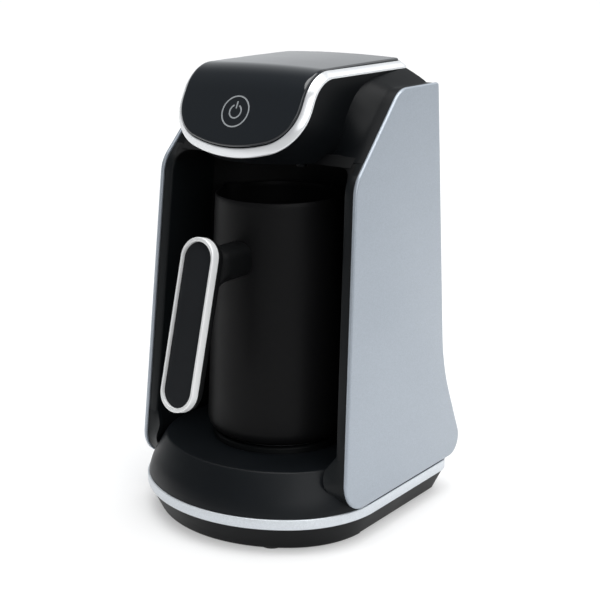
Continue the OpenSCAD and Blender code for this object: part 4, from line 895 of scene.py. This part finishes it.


# The rim is drawn only a third metal, so its pale colour also shows as diffuse white: painted reflection that keeps it
# bright.
satin_chrome, sc_tree, sc_shader = finish("satin_chrome_rim_with_painted_reflection", "#e9eaea", 0.38, Metallic=0.35)
sc_place = add(sc_tree, "ShaderNodeTexCoord").outputs["Object"]
sc_noise = add(sc_tree, "ShaderNodeTexNoise", {}, {"Vector": sc_place, "Scale": 1 / 0.006, "Detail": 2.0})
add(
    sc_tree, "ShaderNodeMapRange", {}, {
        "Value": sc_noise.outputs["Fac"], "From Min": 0.3, "From Max": 0.7, "To Min": 0.37, "To Max": 0.43},
    [("Result", sc_shader.inputs["Roughness"])],
)
make("handle_rim_chrome", grip_skin([
    (0, 0, -5), (0, 0, -0.8), (0.1, 0.1, -0.35), (0.35, 0.35, -0.08), (0.65, 0.65, 0), (1.15, 1.9, 0),
    (1.4, 2.25, -0.12), (1.5, 2.4, -0.4), (1.5, 2.4, -5)], closed=True),
    satin_chrome, "pot", ["handle_rim"])
insert_finish = moulded_abs("dark_grey_insert_satin", "#15171a", 0.5)
make("handle_insert_satin", grip_skin([
    (1.65, 2.55, -3.2), (1.65, 2.55, -1.95), (1.8, 2.7, -1.7), (2.1, 3, -1.6), (5, 6, -1.6), (8, 9.5, -1.6)]),
    insert_finish, "pot", ["handle_insert"])
phenolic = moulded_abs("black_phenolic_handle_moulded", "#090a0b", 0.45)
grip = make("handle_grip_moulded", grip_skin([
    (1.65, 2.55, -3.25), (1.65, 2.55, -5.02), (0.5, 0.5, -5.04), (0.3, 0.3, -5.3), (0.3, 0.3, -7.6),
    (0.45, 0.6, -8.8), (0.9, 1.4, -9.9), (1.6, 2.5, -10.9), (2.5, 3.9, -11.6), (3.4, 5.2, -11.95), (4.2, 6.2, -12),
    (7, 10, -12)]),
    phenolic, "pot", ["handle_grip"])
NECK_Z = POT_Z + 109
FACE_AT_NECK = GRIP_Y + (109 - 81.2) * math.tan(GRIP_LEAN)
BACK = FACE_AT_NECK + 12 / math.cos(GRIP_LEAN)


def level_rod(r, y0, y1):
    """Round bar along the neck's axis."""
    turn = [2 * math.pi * k / 32 for k in range(32)]
    return skin([[at(r * math.cos(t), y, NECK_Z + r * math.sin(t)) for t in turn] for y in (y0, y1)])


carve(grip, [level_rod(3.3, FACE_AT_NECK - 6, FACE_AT_NECK + 7.5), level_rod(1.8, FACE_AT_NECK, BACK + 4)])


def neck_ring(y_place, half, up, down, r, lean_in):
    """Rounded box outline across the neck, between the grip's leaning back and the pot."""
    corners = [(-half, -down, r), (half, -down, r), (half, up, r), (-half, up, r)]
    lean = lean_in * math.tan(GRIP_LEAN)
    return [at(p.x, y_place + lean * p.y, NECK_Z + p.y) for p in outline(corners, 0, 6)]


neck_rows = [neck_ring(BACK + gap, half, up, down, r, lean_in) for gap, half, up, down, r, lean_in in (
    (0.05, 7.75, 9.5, 16.1, 6, 1), (0.9, 7.85, 9.5, 14.6, 6.2, 1), (2.2, 8.1, 9.5, 12.7, 6.4, 0.9),
    (4, 8.5, 9.55, 11, 6.7, 0.65), (6, 8.85, 9.6, 9.9, 6.9, 0.3), (8.5, 9, 9.6, 9.6, 7, 0))]
wall_y = POT_Y - pot_radius(NECK_Z)
neck_rows += [neck_ring(wall_y + way, 9, 9.6, 9.6, 7, 0) for way in (-1.5, 4)]
neck = make("handle_neck_moulded", skin(neck_rows), phenolic, "pot", ["handle_neck"], sharp=45)
cone = skin([[at((r + 0.02) * math.cos(t), POT_Y + (r + 0.02) * math.sin(t), z) for t in
              [2 * math.pi * k / 96 for k in range(96)]] for r, z in ((pot_radius(60), 60), (pot_radius(189), 189))])
carve(neck, [cone, level_rod(1.8, BACK - 8, POT_Y - 40)], sharp=45)
